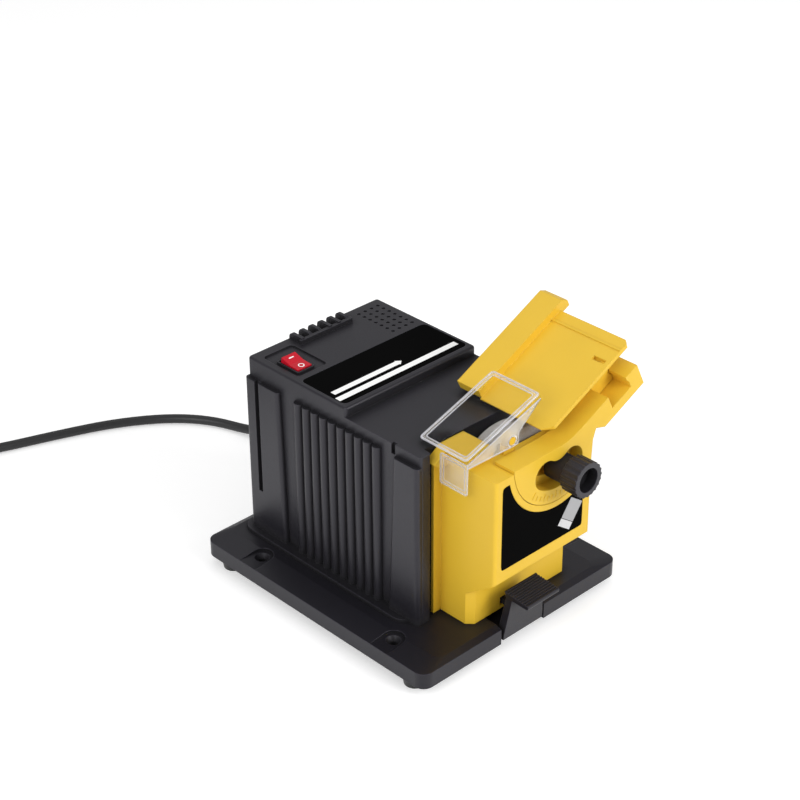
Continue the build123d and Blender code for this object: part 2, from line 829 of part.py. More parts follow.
with BuildPart() as motor_spacers:
    for x, z in bolt_places:
        for span in ((front_bracket_back, stator_front), (stator_back, rear_bracket_front)):
            rod_y(x, z, span, spacer_r)
            rod_y(x, z, span, motor_bolt_r, Mode.SUBTRACT)
motor_spacers.part.label = "motor_spacers"
export_step(motor_spacers.part, "parts/motor_spacers.step")

# Rotor, shaft and fan turn together with the wheel
with BuildPart() as rotor:
    rod_y(axis_x, axis_z, (stator_front, stator_back), stator_bore_r - rotor_gap)
    for face_y in (stator_front, stator_back):
        ring_y = (face_y - fan_plate, face_y + fan_plate)
        rod_y(axis_x, axis_z, ring_y, stator_bore_r - rotor_gap - fan_plate)
    rod_y(axis_x, axis_z, (stator_front - overrun, stator_back + overrun), shaft_r, Mode.SUBTRACT)
rotor.part.label = "rotor"
export_step(rotor.part, "parts/rotor.step")

with BuildPart() as motor_shaft:
    rod_y(axis_x, axis_z, (shaft_front, shaft_back), shaft_r)
    chamfer(motor_shaft.edges().filter_by(GeomType.CIRCLE), shaft_r / 8)
motor_shaft.part.label = "motor_shaft"
export_step(motor_shaft.part, "parts/motor_shaft.step")

with BuildPart() as cooling_fan:
    rod_y(axis_x, axis_z, (fan_front, fan_front + fan_length), fan_hub_r)
    rod_y(axis_x, axis_z, (fan_front, fan_front + fan_plate), fan_r)
    with BuildSketch(upright(fan_front + fan_length)):
        with Locations((axis_x, axis_z)):
            with PolarLocations((fan_hub_r + fan_r) / 2, fan_blade_count):
                Rectangle(fan_r - fan_hub_r + fan_blade, fan_blade)
    extrude(amount=fan_length)
    rod_y(axis_x, axis_z, (fan_front, fan_front + fan_length), shaft_r, Mode.SUBTRACT)
cooling_fan.part.label = "cooling_fan"
export_step(cooling_fan.part, "parts/cooling_fan.step")

# Grinding wheel between a flanged hub and a washer, held by a nut
with BuildPart() as wheel_hub:
    rod_y(axis_x, axis_z, (wheel_back, wheel_back + hub_flange), hub_flange_r)
    rod_y(axis_x, axis_z, (wheel_front, wheel_back), wheel_bore_r)
    rod_y(axis_x, axis_z, (wheel_front, wheel_back + hub_flange), shaft_r, Mode.SUBTRACT)
wheel_hub.part.label = "wheel_hub"
export_step(wheel_hub.part, "parts/wheel_hub.step")

with BuildPart() as grinding_wheel:
    rod_y(axis_x, axis_z, (wheel_front, wheel_back), wheel_r)
    chamfer(grinding_wheel.edges().filter_by(GeomType.CIRCLE), wheel_edge)
    rod_y(axis_x, axis_z, (wheel_front, wheel_back), wheel_bore_r, Mode.SUBTRACT)
grinding_wheel.part.label = "grinding_wheel"
export_step(grinding_wheel.part, "parts/grinding_wheel.step")

with BuildPart() as wheel_washer:
    rod_y(axis_x, axis_z, (nut_back, wheel_front), hub_flange_r)
    rod_y(axis_x, axis_z, (nut_back, wheel_front), shaft_r, Mode.SUBTRACT)
wheel_washer.part.label = "wheel_washer"
export_step(wheel_washer.part, "parts/wheel_washer.step")

with BuildPart() as wheel_nut:
    with BuildSketch(upright(nut_back)):
        with Locations((axis_x, axis_z)):
            RegularPolygon(nut_flats / 2, 6, major_radius=False)
            Circle(shaft_r, mode=Mode.SUBTRACT)
    extrude(amount=nut_height)
wheel_nut.part.label = "wheel_nut"
export_step(wheel_nut.part, "parts/wheel_nut.step")

# Rocker switch: a bezel on the top, a body below it with blade terminals, and the rocker in it
switch_top = switch_seat + switch_bezel
rocker_half_x = switch_width / 2 - switch_rim
rocker_half_y = switch_length / 2 - switch_rim
rocker_pivot_z = switch_top - rocker_pivot_drop
with BuildPart() as switch_body:
    with BuildSketch(level(switch_seat)):
        with Locations((switch_x, switch_y)):
            RectangleRounded(switch_width, switch_length, switch_corner)
    extrude(amount=switch_bezel)
    body_x = (switch_x - body_half_x, switch_x + body_half_x)
    body_y = (switch_y - body_half_y, switch_y + body_half_y)
    body_foot = switch_seat - switch_body_drop
    block(body_x, body_y, (body_foot, switch_seat))
    well_x = (switch_x - rocker_half_x, switch_x + rocker_half_x)
    well_y = (switch_y - rocker_half_y, switch_y + rocker_half_y)
    well_floor = rocker_pivot_z - rocker_root_r - slide_gap
    block(well_x, well_y, (well_floor, switch_top + overrun), Mode.SUBTRACT)
    for tab in (-1, 0, 1):
        tab_y = switch_y + tab * switch_tab_pitch
        block(
            (switch_x - switch_tab_width / 2, switch_x + switch_tab_width / 2),
            (tab_y - switch_tab_thick / 2, tab_y + switch_tab_thick / 2),
            (body_foot - switch_tab_drop, body_foot),
        )
switch_body.part.label = "switch_body"
export_step(switch_body.part, "parts/switch_body.step")

rocker_plane = Plane(
    (switch_x - rocker_half_x + slide_gap, switch_y, rocker_pivot_z),
    x_dir=(0, cos(radians(rocker_tilt)), sin(radians(rocker_tilt))),
    z_dir=(1, 0, 0),
)
with BuildPart() as rocker:
    wing_z = rocker_pivot_drop + rocker_rise
    wing_lean = (wing_z - rocker_dip / 2) * sin(radians(rocker_tilt))
    rocker_span = (rocker_half_y - slide_gap - wing_lean) / cos(radians(rocker_tilt))
    with BuildSketch(rocker_plane):
        with BuildLine():
            Polyline(
                (-rocker_root_r, 0),
                (-rocker_span, rocker_pivot_drop - switch_bezel),
                (-rocker_span, wing_z - rocker_dip / 2),
                (0, wing_z - rocker_dip),
                (rocker_span, wing_z - rocker_dip / 2),
                (rocker_span, rocker_pivot_drop - switch_bezel),
                (rocker_root_r, 0),
            )
            CenterArc((0, 0), rocker_root_r, 180, 180)
        make_face()
    extrude(amount=2 * (rocker_half_x - slide_gap))
rocker.part.label = "rocker"
export_step(rocker.part, "parts/rocker.step")

# Terminal block on the base, where the cord's wires end
with BuildPart() as terminal_block:
    terminal_x_span = (terminal_x - terminal_width / 2, terminal_x + terminal_width / 2)
    terminal_y_span = (terminal_y - terminal_depth / 2, terminal_y + terminal_depth / 2)
    block(terminal_x_span, terminal_y_span, (base_top, base_top + terminal_height))
    way_pitch = terminal_width / terminal_ways
    for way in range(terminal_ways):
        x = terminal_x_span[0] + (way + 1 / 2) * way_pitch
        well = (base_top + terminal_height / 2, base_top + terminal_height)
        for y in (terminal_y - terminal_depth / 4, terminal_y + terminal_depth / 4):
            rod_z(x, y, well, terminal_screw_r, Mode.SUBTRACT)
terminal_block.part.label = "terminal_block"
export_step(terminal_block.part, "parts/terminal_block.step")

# Attachment body: a moulded shell, open behind and below, that hooks on in front of the housing
with BuildPart() as attachment_body:
    with BuildSketch(sideways(att_left)):
        with BuildLine():
            Polyline(
                (att_rear, base_top),
                (att_lower_front, base_top),
                (att_lower_front, att_ledge_root_z),
                (att_front, att_ledge_z),
                (att_front, att_top),
                (att_rear, att_top),
                close=True,
            )
        make_face()
    extrude(amount=att_right - att_left)
    front_uprights = attachment_body.edges().filter_by(Axis.Z).sort_by(Axis.Y)
    lower_uprights = front_uprights[2:4].sort_by(Axis.X)
    chamfer(lower_uprights[0], att_lower_chamfer)
    upper_uprights = attachment_body.edges().filter_by(Axis.Z).sort_by(Axis.Y)[:2].sort_by(Axis.X)
    fillet(upper_uprights[0], att_corner)
    with BuildSketch(sideways(att_left + att_wall)):
        with BuildLine():
            Polyline(
                (att_rear + overrun, base_top - overrun),
                (att_lower_front + att_wall, base_top - overrun),
                (att_lower_front + att_wall, att_ledge_root_z + att_wall),
                (att_front + att_wall, att_ledge_z + att_wall),
                (att_front + att_wall, att_top - att_wall),
                (att_rear + overrun, att_top - att_wall),
                close=True,
            )
        make_face()
    extrude(amount=att_right - att_left - 2 * att_wall, mode=Mode.SUBTRACT)
    # Round pocket for the arm, with the strip wall behind it
    with BuildSketch(upright(strip_rear)):
        with Locations((pivot_x, pivot_z)):
            Circle(well_r + att_wall)
        with Locations((att_mid_x, att_top / 2)):
            Rectangle(att_right - att_left, att_top, mode=Mode.INTERSECT)
    extrude(amount=strip_rear - att_front)
    rod_y(pivot_x, pivot_z, (att_front - overrun, strip_front), well_r, Mode.SUBTRACT)
    # The wheel comes up through the top, and the right wall is low under the arm
    cut_z = (right_wall_top, att_top + overrun)
    block((opening_left, strip_end), (strip_rear, att_rear + overrun), cut_z, Mode.SUBTRACT)
    block((strip_end, att_right + overrun), (strip_front - overrun, att_rear + overrun), cut_z, Mode.SUBTRACT)
    # Raised deck on the left, hollow below so that the wheel passes under its edge
    deck_x = (att_left, opening_left)
    block(deck_x, (strip_rear, att_rear), (att_top - att_wall, att_deck_top))
    block(
        (att_left + att_wall, opening_left + overrun),
        (strip_rear + att_deck_rim, att_rear + overrun),
        (att_top - att_wall - overrun, att_deck_top - att_wall),
        Mode.SUBTRACT,
    )
    rod_y(axis_x, axis_z, (strip_front - overrun, strip_rear + overrun), hub_flange_r + slide_gap, Mode.SUBTRACT)
    # Ear for the shield's pin
    ear_front = strip_front + shield_panel + 2 * slide_gap
    ear_y = (ear_front, ear_front + pin_ear_thick)
    ear_x = (shield_pin_x - pin_ear_half, shield_pin_x + pin_ear_half)
    block(ear_x, ear_y, (att_top - att_wall, shield_pin_z))
    rod_y(shield_pin_x, shield_pin_z, ear_y, pin_ear_r)
    rod_y(shield_pin_x, shield_pin_z, ear_y, shield_pin_r, Mode.SUBTRACT)
    # Narrow flange along the rear edge, with a small ear at its top
    flange_y = (att_rear - att_flange_thick, att_rear)
    block((att_left - att_flange_out, att_left + att_wall), flange_y, (base_top, att_ear_foot_z))
    with BuildSketch(upright(att_rear)):
        with BuildLine():
            Polyline(
                (att_left + att_wall, att_deck_top),
                (att_left, att_deck_top),
                (att_left - att_ear_out, att_ear_tip_z),
                (att_left - att_flange_out, att_ear_foot_z),
                (att_left + att_wall, att_ear_foot_z),
                close=True,
            )
        make_face()
    extrude(amount=att_ear_depth)
    # Bed for the front plate, cut round above it
    label_left = att_left + label_inset_left
    label_right = att_right - label_inset_right
    label_top = att_top - label_top_inset
    with BuildSketch(upright(att_front)):
        with Locations(((label_left + label_right) / 2, (label_foot_z + label_top) / 2)):
            RectangleRounded(label_right - label_left, label_top - label_foot_z, label_corner)
        with Locations((pivot_x, pivot_z)):
            Circle(well_r + label_arc_gap, mode=Mode.SUBTRACT)
    extrude(amount=-label_depth, mode=Mode.SUBTRACT)
    # Seat for the clamp stud and window for the latch's hook
    rod_y(knob_x, knob_z, (strip_front - overrun, strip_rear + overrun), stud_r, Mode.SUBTRACT)
    rod_y(knob_x, knob_z, (strip_rear - stud_head, strip_rear + overrun), stud_head_r, Mode.SUBTRACT)
    block(
        (-hook_half - hook_window_gap, hook_half + hook_window_gap),
        (att_lower_front - overrun, att_lower_front + att_wall + overrun),
        (hook_z - hook_window_gap - slide_gap, hook_z + hook_height + hook_window_gap),
        Mode.SUBTRACT,
    )
attachment_body.part.label = "attachment_body"
export_step(attachment_body.part, "parts/attachment_body.step")

# Pin that the shield swings on
with BuildPart() as shield_pin:
    rod_y(shield_pin_x, shield_pin_z, (shield_front - shield_boss, ear_y[1]), shield_pin_r)
shield_pin.part.label = "shield_pin"
export_step(shield_pin.part, "parts/shield_pin.step")

# Stud that the clamp knob screws on
with BuildPart() as clamp_stud:
    rod_y(knob_x, knob_z, (stud_front, strip_rear), stud_r)
    rod_y(knob_x, knob_z, (strip_rear - stud_head, strip_rear), stud_head_r)
clamp_stud.part.label = "clamp_stud"
export_step(clamp_stud.part, "parts/clamp_stud.step")

# Angle arm: a disc that turns in the pocket, a ramp, and a grooved block for the carriage's rail
flat_dz = arm_flat_z - pivot_z
disc_left = 180 - degrees(asin(flat_dz / disc_r)) - arm_slope
disc_right = -degrees(acos((att_right - pivot_x) / disc_r)) - arm_slope
disc_left_at = (disc_r * cos(radians(disc_left)), disc_r * sin(radians(disc_left)))
disc_right_at = (disc_r * cos(radians(disc_right)), disc_r * sin(radians(disc_right)))
flat_end_at = (arm_flat_end * slope_cos + flat_dz * slope_sin, flat_dz * slope_cos - arm_flat_end * slope_sin)
slot_line = CenterArc((0, 0), arc_radius, arc_from, arc_sweep)
with BuildPart() as angle_arm:
    with BuildSketch(sloped(arm_rear)):
        with BuildLine():
            CenterArc((0, 0), disc_r, disc_left, 360 + disc_right - disc_left)
            Polyline(
                disc_right_at,
                (skirt_u, skirt_v),
                (heel_u, heel_v),
                (block_start_u, block_foot_v),
                (block_end_u, block_foot_v),
                (block_end_u, ramp_v),
                (groove_end_u - nib, ramp_v),
                (groove_end_u - nib, ramp_v - nib_drop),
                (groove_end_u, ramp_v - nib_drop - nib_height),
                (groove_end_u, groove_floor_v),
                (groove_start_u, groove_floor_v),
                (groove_start_u, ramp_v),
                (ramp_start_u, ramp_v),
            )
            Spline(
                (ramp_start_u, ramp_v),
                flat_end_at,
                tangents=((-1, 0), (-slope_cos, slope_sin)),
            )
            Line(flat_end_at, disc_left_at)
        make_face()
    extrude(amount=arm_rear - att_front)
    with BuildSketch(sloped(arm_back)):
        with BuildLine():
            Polyline(
                (block_start_u, block_foot_v),
                (block_end_u, block_foot_v),
                (block_end_u, ramp_v),
                (groove_end_u - nib, ramp_v),
                (groove_end_u - nib, ramp_v - nib_drop),
                (groove_end_u, ramp_v - nib_drop - nib_height),
                (groove_end_u, groove_floor_v),
                (groove_start_u, groove_floor_v),
                (groove_start_u, ramp_v),
                (block_start_u, ramp_v),
                close=True,
            )
        make_face()
    extrude(amount=arm_back - arm_rear)
    with BuildSketch(sloped(arm_rear)):
        SlotArc(slot_line, 2 * (stud_r + slide_gap))
    extrude(amount=arm_rear - att_front, mode=Mode.SUBTRACT)
    with BuildSketch(sloped(arc_step)):
        SlotArc(slot_line, arc_width)
    extrude(amount=arc_step - att_front + overrun, mode=Mode.SUBTRACT)
angle_arm.part.label = "angle_arm"
export_step(angle_arm.part, "parts/angle_arm.step")

# Clamp knob: a hollow knurled head on a sleeve that bears on the ledge in the arm's slot
with BuildPart() as clamp_knob:
    with BuildSketch(upright(knob_back)):
        with Locations((knob_x, knob_z)):
            Circle(knob_r - knob_ridge_r / 2)
            with PolarLocations(knob_r - knob_ridge_r, knob_ridges):
                Circle(knob_ridge_r)
    extrude(amount=knob_length)
    with BuildSketch(upright(knob_face + knob_hollow_depth)):
        with Locations((knob_x, knob_z)):
            Circle(knob_hollow_r)
    extrude(amount=knob_hollow_depth, mode=Mode.SUBTRACT)
    rod_y(knob_x, knob_z, (knob_back, sleeve_back), sleeve_r)
    rod_y(knob_x, knob_z, (stud_front - stud_end_gap / 2, sleeve_back), stud_r + running_gap, Mode.SUBTRACT)
clamp_knob.part.label = "clamp_knob"
export_step(clamp_knob.part, "parts/clamp_knob.step")

# Tool carriage: a sloped floor with a fence, and a hooked rail below it in the arm's groove
floor_under_v = floor_v - floor_thick
floor_plane = Plane(
    (pivot_x - floor_v * slope_sin, 0, pivot_z + floor_v * slope_cos),
    x_dir=(slope_cos, 0, slope_sin),
    z_dir=(-slope_sin, 0, slope_cos),
)
with BuildPart() as tool_carriage:
    with BuildSketch(sloped(floor_back)):
        with BuildLine():
            Polyline(
                (floor_low_u, floor_v),
                (floor_high_u, floor_v),
                (floor_high_u, floor_under_v),
                (low_relief_u, floor_under_v),
                (floor_low_u, floor_v - low_edge),
                close=True,
            )
        make_face()
    extrude(amount=floor_back - floor_front)
    with BuildSketch(sloped(fence_back)):
        with BuildLine():
            Polyline(
                (fence_low_u, floor_v + fence_height),
                (fence_high_u - fence_chamfer, floor_v + fence_height),
                (fence_high_u, floor_v + fence_height - fence_chamfer),
                (fence_high_u, floor_under_v),
                (low_relief_u, floor_under_v),
                (fence_low_u, floor_v - low_edge),
                close=True,
            )
        make_face()
    extrude(amount=fence_back - floor_back)
    with BuildSketch(floor_plane):
        with BuildLine():
            Polyline(
                (floor_low_u, floor_front),
                (floor_low_u + low_corner, floor_front),
                (floor_low_u, floor_front + low_corner),
                close=True,
            )
        make_face()
        with BuildLine():
            Polyline(
                (floor_high_u, floor_front),
                (floor_high_u - high_corner, floor_front),
                (floor_high_u, floor_front + high_corner),
                close=True,
            )
        make_face()
    extrude(amount=floor_thick + overrun, both=True, mode=Mode.SUBTRACT)
    with BuildSketch(floor_plane):
        with Locations((tool_slot_u, (tool_slot_front + tool_slot_back) / 2)):
            Rectangle(tool_slot_width, tool_slot_back - tool_slot_front)
    extrude(amount=-floor_thick, mode=Mode.SUBTRACT)
    with BuildSketch(floor_plane):
        with Locations((end_rim_u, (floor_front + floor_back) / 2)):
            Rectangle(end_rim_width, floor_back - floor_front)
    extrude(amount=end_rim_height)
    rail_low = groove_start_u + slide_gap
    rail_high = groove_end_u - slide_gap
    with BuildSketch(sloped(floor_back)):
        with BuildLine():
            Polyline(
                (rail_low, floor_under_v),
                (rail_low, groove_floor_v + slide_gap),
                (rail_high, groove_floor_v + slide_gap),
                (rail_high, ramp_v - nib_drop - nib_height - slide_gap),
                (rail_high - nib, ramp_v - nib_drop - slide_gap),
                (rail_high - nib, floor_under_v),
                close=True,
            )
        make_face()
    extrude(amount=floor_back - rail_front)
    for gusset_y in (arm_back - gusset_thick, arm_rear + gusset_thick):
        with BuildSketch(sloped(gusset_y + gusset_thick / 2)):
            with BuildLine():
                Polyline(
                    (gusset_low_u, floor_under_v),
                    (gusset_foot_u, ramp_v + slide_gap),
                    (rail_low, ramp_v + slide_gap),
                    (rail_low, floor_under_v),
                    close=True,
                )
            make_face()
        extrude(amount=gusset_thick)
tool_carriage.part.label = "tool_carriage"
export_step(tool_carriage.part, "parts/tool_carriage.step")

# Eye shield: a clear sloped pane with a raised rim, a side panel on the pin and a flap on the left
shield_slope = atan2(shield_high_z - shield_low_z, shield_high_x - shield_low_x)
shield_length = (shield_high_x - shield_low_x) / cos(shield_slope)
shield_plane = Plane(
    (shield_low_x, shield_rear, shield_low_z),
    x_dir=(cos(shield_slope), 0, sin(shield_slope)),
    z_dir=(0, -1, 0),
)
with BuildPart() as eye_shield:
    with BuildSketch(shield_plane):
        with Locations((shield_length / 2, (shield_thick + shield_rim) / 2)):
            Rectangle(shield_length, shield_thick + shield_rim)
    extrude(amount=shield_rear - shield_front)
    with BuildSketch(shield_plane.offset(shield_rim_width)):
        with Locations((shield_length / 2, shield_thick + shield_rim / 2)):
            Rectangle(shield_length - 2 * shield_rim_width, shield_rim)
    extrude(amount=shield_rear - shield_front - 2 * shield_rim_width, mode=Mode.SUBTRACT)
    with BuildSketch(upright(shield_front + shield_panel)):
        with BuildLine():
            Polyline(
                (shield_low_x, panel_foot_z),
                (panel_nose_x, panel_foot_z),
                (shield_high_x, shield_high_z),
                (shield_low_x, shield_low_z),
                close=True,
            )
        make_face()
    extrude(amount=shield_panel)
    flap_x = (shield_low_x, shield_low_x + flap_thick)
    block(flap_x, (shield_front, flap_rear), (flap_foot_z, shield_low_z + flap_recess))
    block(
        (shield_low_x - overrun, shield_low_x + flap_recess),
        (shield_front + flap_frame, flap_rear - flap_frame),
        (flap_foot_z + flap_frame, panel_foot_z - flap_frame),
        Mode.SUBTRACT,
    )
    rod_y(shield_pin_x, shield_pin_z, (shield_front - shield_boss, shield_front), shield_boss_r)
    pin_span = (shield_front - shield_boss, shield_front + shield_panel)
    rod_y(shield_pin_x, shield_pin_z, pin_span, shield_pin_r + running_gap, Mode.SUBTRACT)
eye_shield.part.label = "eye_shield"
export_step(eye_shield.part, "parts/eye_shield.step")

# Latch pin and release latch: a lever under the base whose tongue stands up in the front slot
with BuildPart() as latch_pin:
    rod_x(latch_pivot_y, latch_pivot_z, (-latch_pin_half, latch_pin_half), latch_pin_r)
latch_pin.part.label = "latch_pin"
export_step(latch_pin.part, "parts/latch_pin.step")

lever_foot = latch_pivot_z - latch_lever / 2
lever_top = latch_pivot_z + latch_lever / 2
neck_front = base_front - latch_lean
with BuildPart() as release_latch:
    with BuildSketch(sideways(-latch_foot_half)):
        with BuildLine():
            Polyline(
                (base_front, lever_foot),
                (neck_front, latch_neck_z),
                (pad_front, pad_nose_z - pad_lip),
                (pad_front, pad_nose_z),
                (pad_rear, latch_top_z),
                (neck_front + latch_thick, latch_neck_z),
                (base_front + latch_thick, lever_top),
                (latch_pivot_y, lever_top),
                (latch_pivot_y, lever_foot),
                close=True,
            )
        make_face()
    extrude(amount=2 * latch_foot_half)
    fillet(release_latch.edges().filter_by(Axis.X).group_by(Axis.Y)[0], pad_nose_round)
    with BuildSketch(upright(latch_pivot_y + overrun)):
        with BuildLine():
            Polyline(
                (-latch_foot_half, base_bottom),
                (latch_foot_half, base_bottom),
                (latch_foot_half, lever_top),
                (latch_top_half, latch_neck_z),
                (latch_top_half, latch_top_z),
                (-latch_top_half, latch_top_z),
                (-latch_top_half, latch_neck_z),
                (-latch_foot_half, lever_top),
                close=True,
            )
        make_face()
    extrude(amount=latch_pivot_y - pad_front + 2 * overrun, mode=Mode.INTERSECT)
    ridge_step = (pad_rear - pad_front) / pad_ridges
    for ridge in range(1, pad_ridges):
        ridge_y = pad_rear - ridge * ridge_step
        ridge_z = latch_top_z - (latch_top_z - pad_nose_z) * ridge / pad_ridges
        rod_x(ridge_y, ridge_z, (-latch_foot_half, latch_foot_half), pad_ridge_depth, Mode.SUBTRACT)
    rod_x(latch_pivot_y, latch_pivot_z, (-latch_foot_half, latch_foot_half), latch_knuckle_r)
    bore_span = (-latch_foot_half - overrun, latch_foot_half + overrun)
    rod_x(latch_pivot_y, latch_pivot_z, bore_span, latch_pin_r + running_gap, Mode.SUBTRACT)
    hook_y = (base_front + latch_thick / 2, hook_tip)
    block((-hook_half, hook_half), hook_y, (hook_z, hook_z + hook_height))
release_latch.part.label = "release_latch"
export_step(release_latch.part, "parts/release_latch.step")

# Cord strain relief: a collar on the rear wall and a ringed taper round the cord
with BuildPart() as cord_strain_relief:
    rod_y(gland_x, gland_z, (housing_rear - housing_wall, housing_rear), gland_root_r)
    rod_y(gland_x, gland_z, (housing_rear, housing_rear + gland_collar), gland_collar_r)
    taper_length = gland_length - gland_collar
    taper_mid = housing_rear + gland_collar + taper_length / 2
    with Locations(Location((gland_x, taper_mid, gland_z), (-90, 0, 0))):
        Cone(gland_root_r, gland_tip_r, taper_length)
    ring_step = taper_length / (gland_ring_count + 1)
    for ring in range(1, gland_ring_count + 1):
        ring_y = housing_rear + gland_collar + ring * ring_step
        taper_r = gland_root_r + (gland_tip_r - gland_root_r) * ring / (gland_ring_count + 1)
        with BuildSketch(upright(ring_y + gland_ring_width / 2)):
            with Locations((gland_x, gland_z)):
                Circle(gland_collar_r)
                Circle(taper_r - gland_ring_depth, mode=Mode.SUBTRACT)
        extrude(amount=gland_ring_width, mode=Mode.SUBTRACT)
cord_strain_relief.part.label = "cord_strain_relief"
export_step(cord_strain_relief.part, "parts/cord_strain_relief.step")

# Mains cord: straight runs joined by arcs as large as the runs allow
route = [Vector(*point) for point in cord_points]
cord_radii = []
for before, here, after in zip(route, route[1:], route[2:]):
    turn = radians((here - before).get_angle(after - here))
    shorter = min((here - before).length, (after - here).length)
    cord_radii.append(0.45 * shorter / tan(turn / 2))
print("cord radii", [round(radius, 1) for radius in cord_radii])
with BuildPart() as cord:
    with BuildLine() as cord_line:
        FilletPolyline(*route, radius=cord_radii)
    cord_start = Plane(route[0], z_dir=route[1] - route[0])
    with BuildSketch(cord_start):
        RegularPolygon(cord_r, cord_sides)
    cord_path = cord_line.wire()
    sweep(path=cord_path)
cord_section = cord_sides / 2 * cord_r**2 * sin(2 * pi / cord_sides)
print("cord length", round(cord_path.length, 1))
print("cord volume", round(cord.part.volume), "section by length", round(cord_section * cord_path.length))
cord.part.label = "cord"
export_step(cord.part, "parts/cord.step")

# Cord coil: a low layer that spirals in, a half turn that climbs, and a top layer that spirals out
coil_heading = (route[-1] - route[-2]).normalized()
coil_entry = route[-1] + coil_heading * (2 * cord_r)
coil_first_angle = atan2(coil_heading.Y, coil_heading.X) - pi / 2
coil_turns = coil_whole_turns + (radians(coil_end_angle) - coil_first_angle) / (2 * pi)
coil_inner_r = coil_mid_r - coil_pitch * coil_turns / 4
coil_first_r = coil_mid_r + coil_pitch * coil_turns / 4
coil_center = coil_entry - Vector(cos(coil_first_angle), sin(coil_first_angle)) * coil_first_r


def coil_size(turns):
    """The coil's radius and height after so many turns."""
    past_middle = turns - coil_turns / 2
    share = min(max(past_middle / coil_climb_turns + 1 / 2, 0), 1)
    height = coil_entry.Z + coil_pitch * (1 - cos(pi * share)) / 2
    return coil_inner_r + coil_pitch * abs(past_middle), height


def coil_point(turns):
    """The point on the coil's middle line after so many turns."""
    radius, height = coil_size(turns)
    angle = coil_first_angle + 2 * pi * turns
    return Vector(coil_center.X + radius * cos(angle), coil_center.Y + radius * sin(angle), height)


def coil_tangent(turns):
    """The coil's direction after so many turns, level and square to the radius at both ends."""
    angle = coil_first_angle + 2 * pi * turns
    if turns <= 0 or turns >= coil_turns:
        return Vector(-sin(angle), cos(angle), 0)
    step = 1 / (2 * coil_steps_per_turn)
    low_r, low_z = coil_size(turns - step)
    high_r, high_z = coil_size(turns + step)
    radius = coil_size(turns)[0]
    grow = (high_r - low_r) / (2 * step)
    climb = (high_z - low_z) / (2 * step)
    sweep_rate = 2 * pi * radius
    return Vector(
        grow * cos(angle) - sweep_rate * sin(angle), grow * sin(angle) + sweep_rate * cos(angle), climb
    ).normalized()


def biarc(start, start_dir, end, end_dir):
    """The middle point and direction of two arcs that join two points in given directions."""
    span = end - start
    both = start_dir + end_dir
    square = both.dot(both) - 4
    line = span.dot(both)
    reach = (line - (line * line - square * span.dot(span)) ** 0.5) / square
    low = start + start_dir * reach
    high = end - end_dir * reach
    return (low + high) / 2, (high - low).normalized()


coil_step_count = round(coil_turns * coil_steps_per_turn)
coil_stations = [coil_turns * step / coil_step_count for step in range(coil_step_count + 1)]
with BuildPart() as cord_coil:
    with BuildLine() as coil_line:
        Line(route[-1], coil_entry)
        for here, there in zip(coil_stations, coil_stations[1:]):
            start, start_dir = coil_point(here), coil_tangent(here)
            end, end_dir = coil_point(there), coil_tangent(there)
            middle, middle_dir = biarc(start, start_dir, end, end_dir)
            TangentArc(start, middle, tangent=start_dir)
            TangentArc(middle, end, tangent=middle_dir)
        coil_exit = coil_point(coil_turns)
        coil_exit_dir = coil_tangent(coil_turns)
        plug_start = coil_exit + coil_exit_dir * coil_tail
        Line(coil_exit, plug_start)
    with BuildSketch(Plane(route[-1], z_dir=coil_heading)):
        RegularPolygon(cord_r, cord_sides)
    coil_path = coil_line.wire()
    sweep(path=coil_path)
coil_samples = [coil_point(coil_turns * step / 640) for step in range(641)]
apart = int(640 / coil_turns / 2)
coil_self_gap = min(
    (coil_samples[low] - coil_samples[high]).length
    for low in range(0, 641, 2)
    for high in range(low + apart, 641)
)
print("coil least self gap", round(coil_self_gap - 2 * cord_r, 2))
print("coil length", round(coil_path.length, 1), "turns", round(coil_turns, 2))
print("coil volume", round(cord_coil.part.volume), "section by length", round(cord_section * coil_path.length))
cord_coil.part.label = "cord_coil"
export_step(cord_coil.part, "parts/cord_coil.step")

# Tie round all the turns at one place
tie_dir = Vector(cos(radians(tie_angle)), sin(radians(tie_angle)))
tie_plane = Plane(
    (coil_center.X, coil_center.Y, coil_entry.Z + coil_pitch / 2),
    x_dir=tie_dir,
    z_dir=tie_dir.cross(Vector(0, 0, 1)),
)
with BuildPart() as cord_tie:
    tie_inner_r = coil_inner_r - cord_r - tie_gap
    tie_outer_r = coil_first_r + cord_r + tie_gap
    tie_hole = coil_pitch + 2 * cord_r + slide_gap
    with BuildSketch(tie_plane):
        with Locations(((tie_inner_r + tie_outer_r) / 2, 0)):
            RectangleRounded(tie_outer_r - tie_inner_r + 2 * tie_thick, tie_hole + 2 * tie_thick, 2 * tie_thick)
            RectangleRounded(tie_outer_r - tie_inner_r, tie_hole, tie_thick, mode=Mode.SUBTRACT)
    extrude(amount=tie_width / 2, both=True)
cord_tie.part.label = "cord_tie"
export_step(cord_tie.part, "parts/cord_tie.step")

# Plug with two round pins, lying beside the coil
plug_plane = Plane(plug_start, x_dir=(1, 0, 0), z_dir=coil_exit_dir)
with BuildPart() as plug_body:
    with BuildSketch(plug_plane):
        Circle(plug_neck_tip_r)
    with BuildSketch(plug_plane.offset(plug_neck_length)):
        Circle(plug_neck_root_r)
    loft()
    with BuildSketch(plug_plane.offset(plug_neck_length)):
        RectangleRounded(plug_width, plug_height, plug_corner)
    extrude(amount=plug_length)
    chamfer(plug_body.faces().filter_by(Axis.Y).sort_by(Axis.Y)[-1].edges(), plug_shoulder)
plug_body.part.label = "plug_body"
export_step(plug_body.part, "parts/plug_body.step")

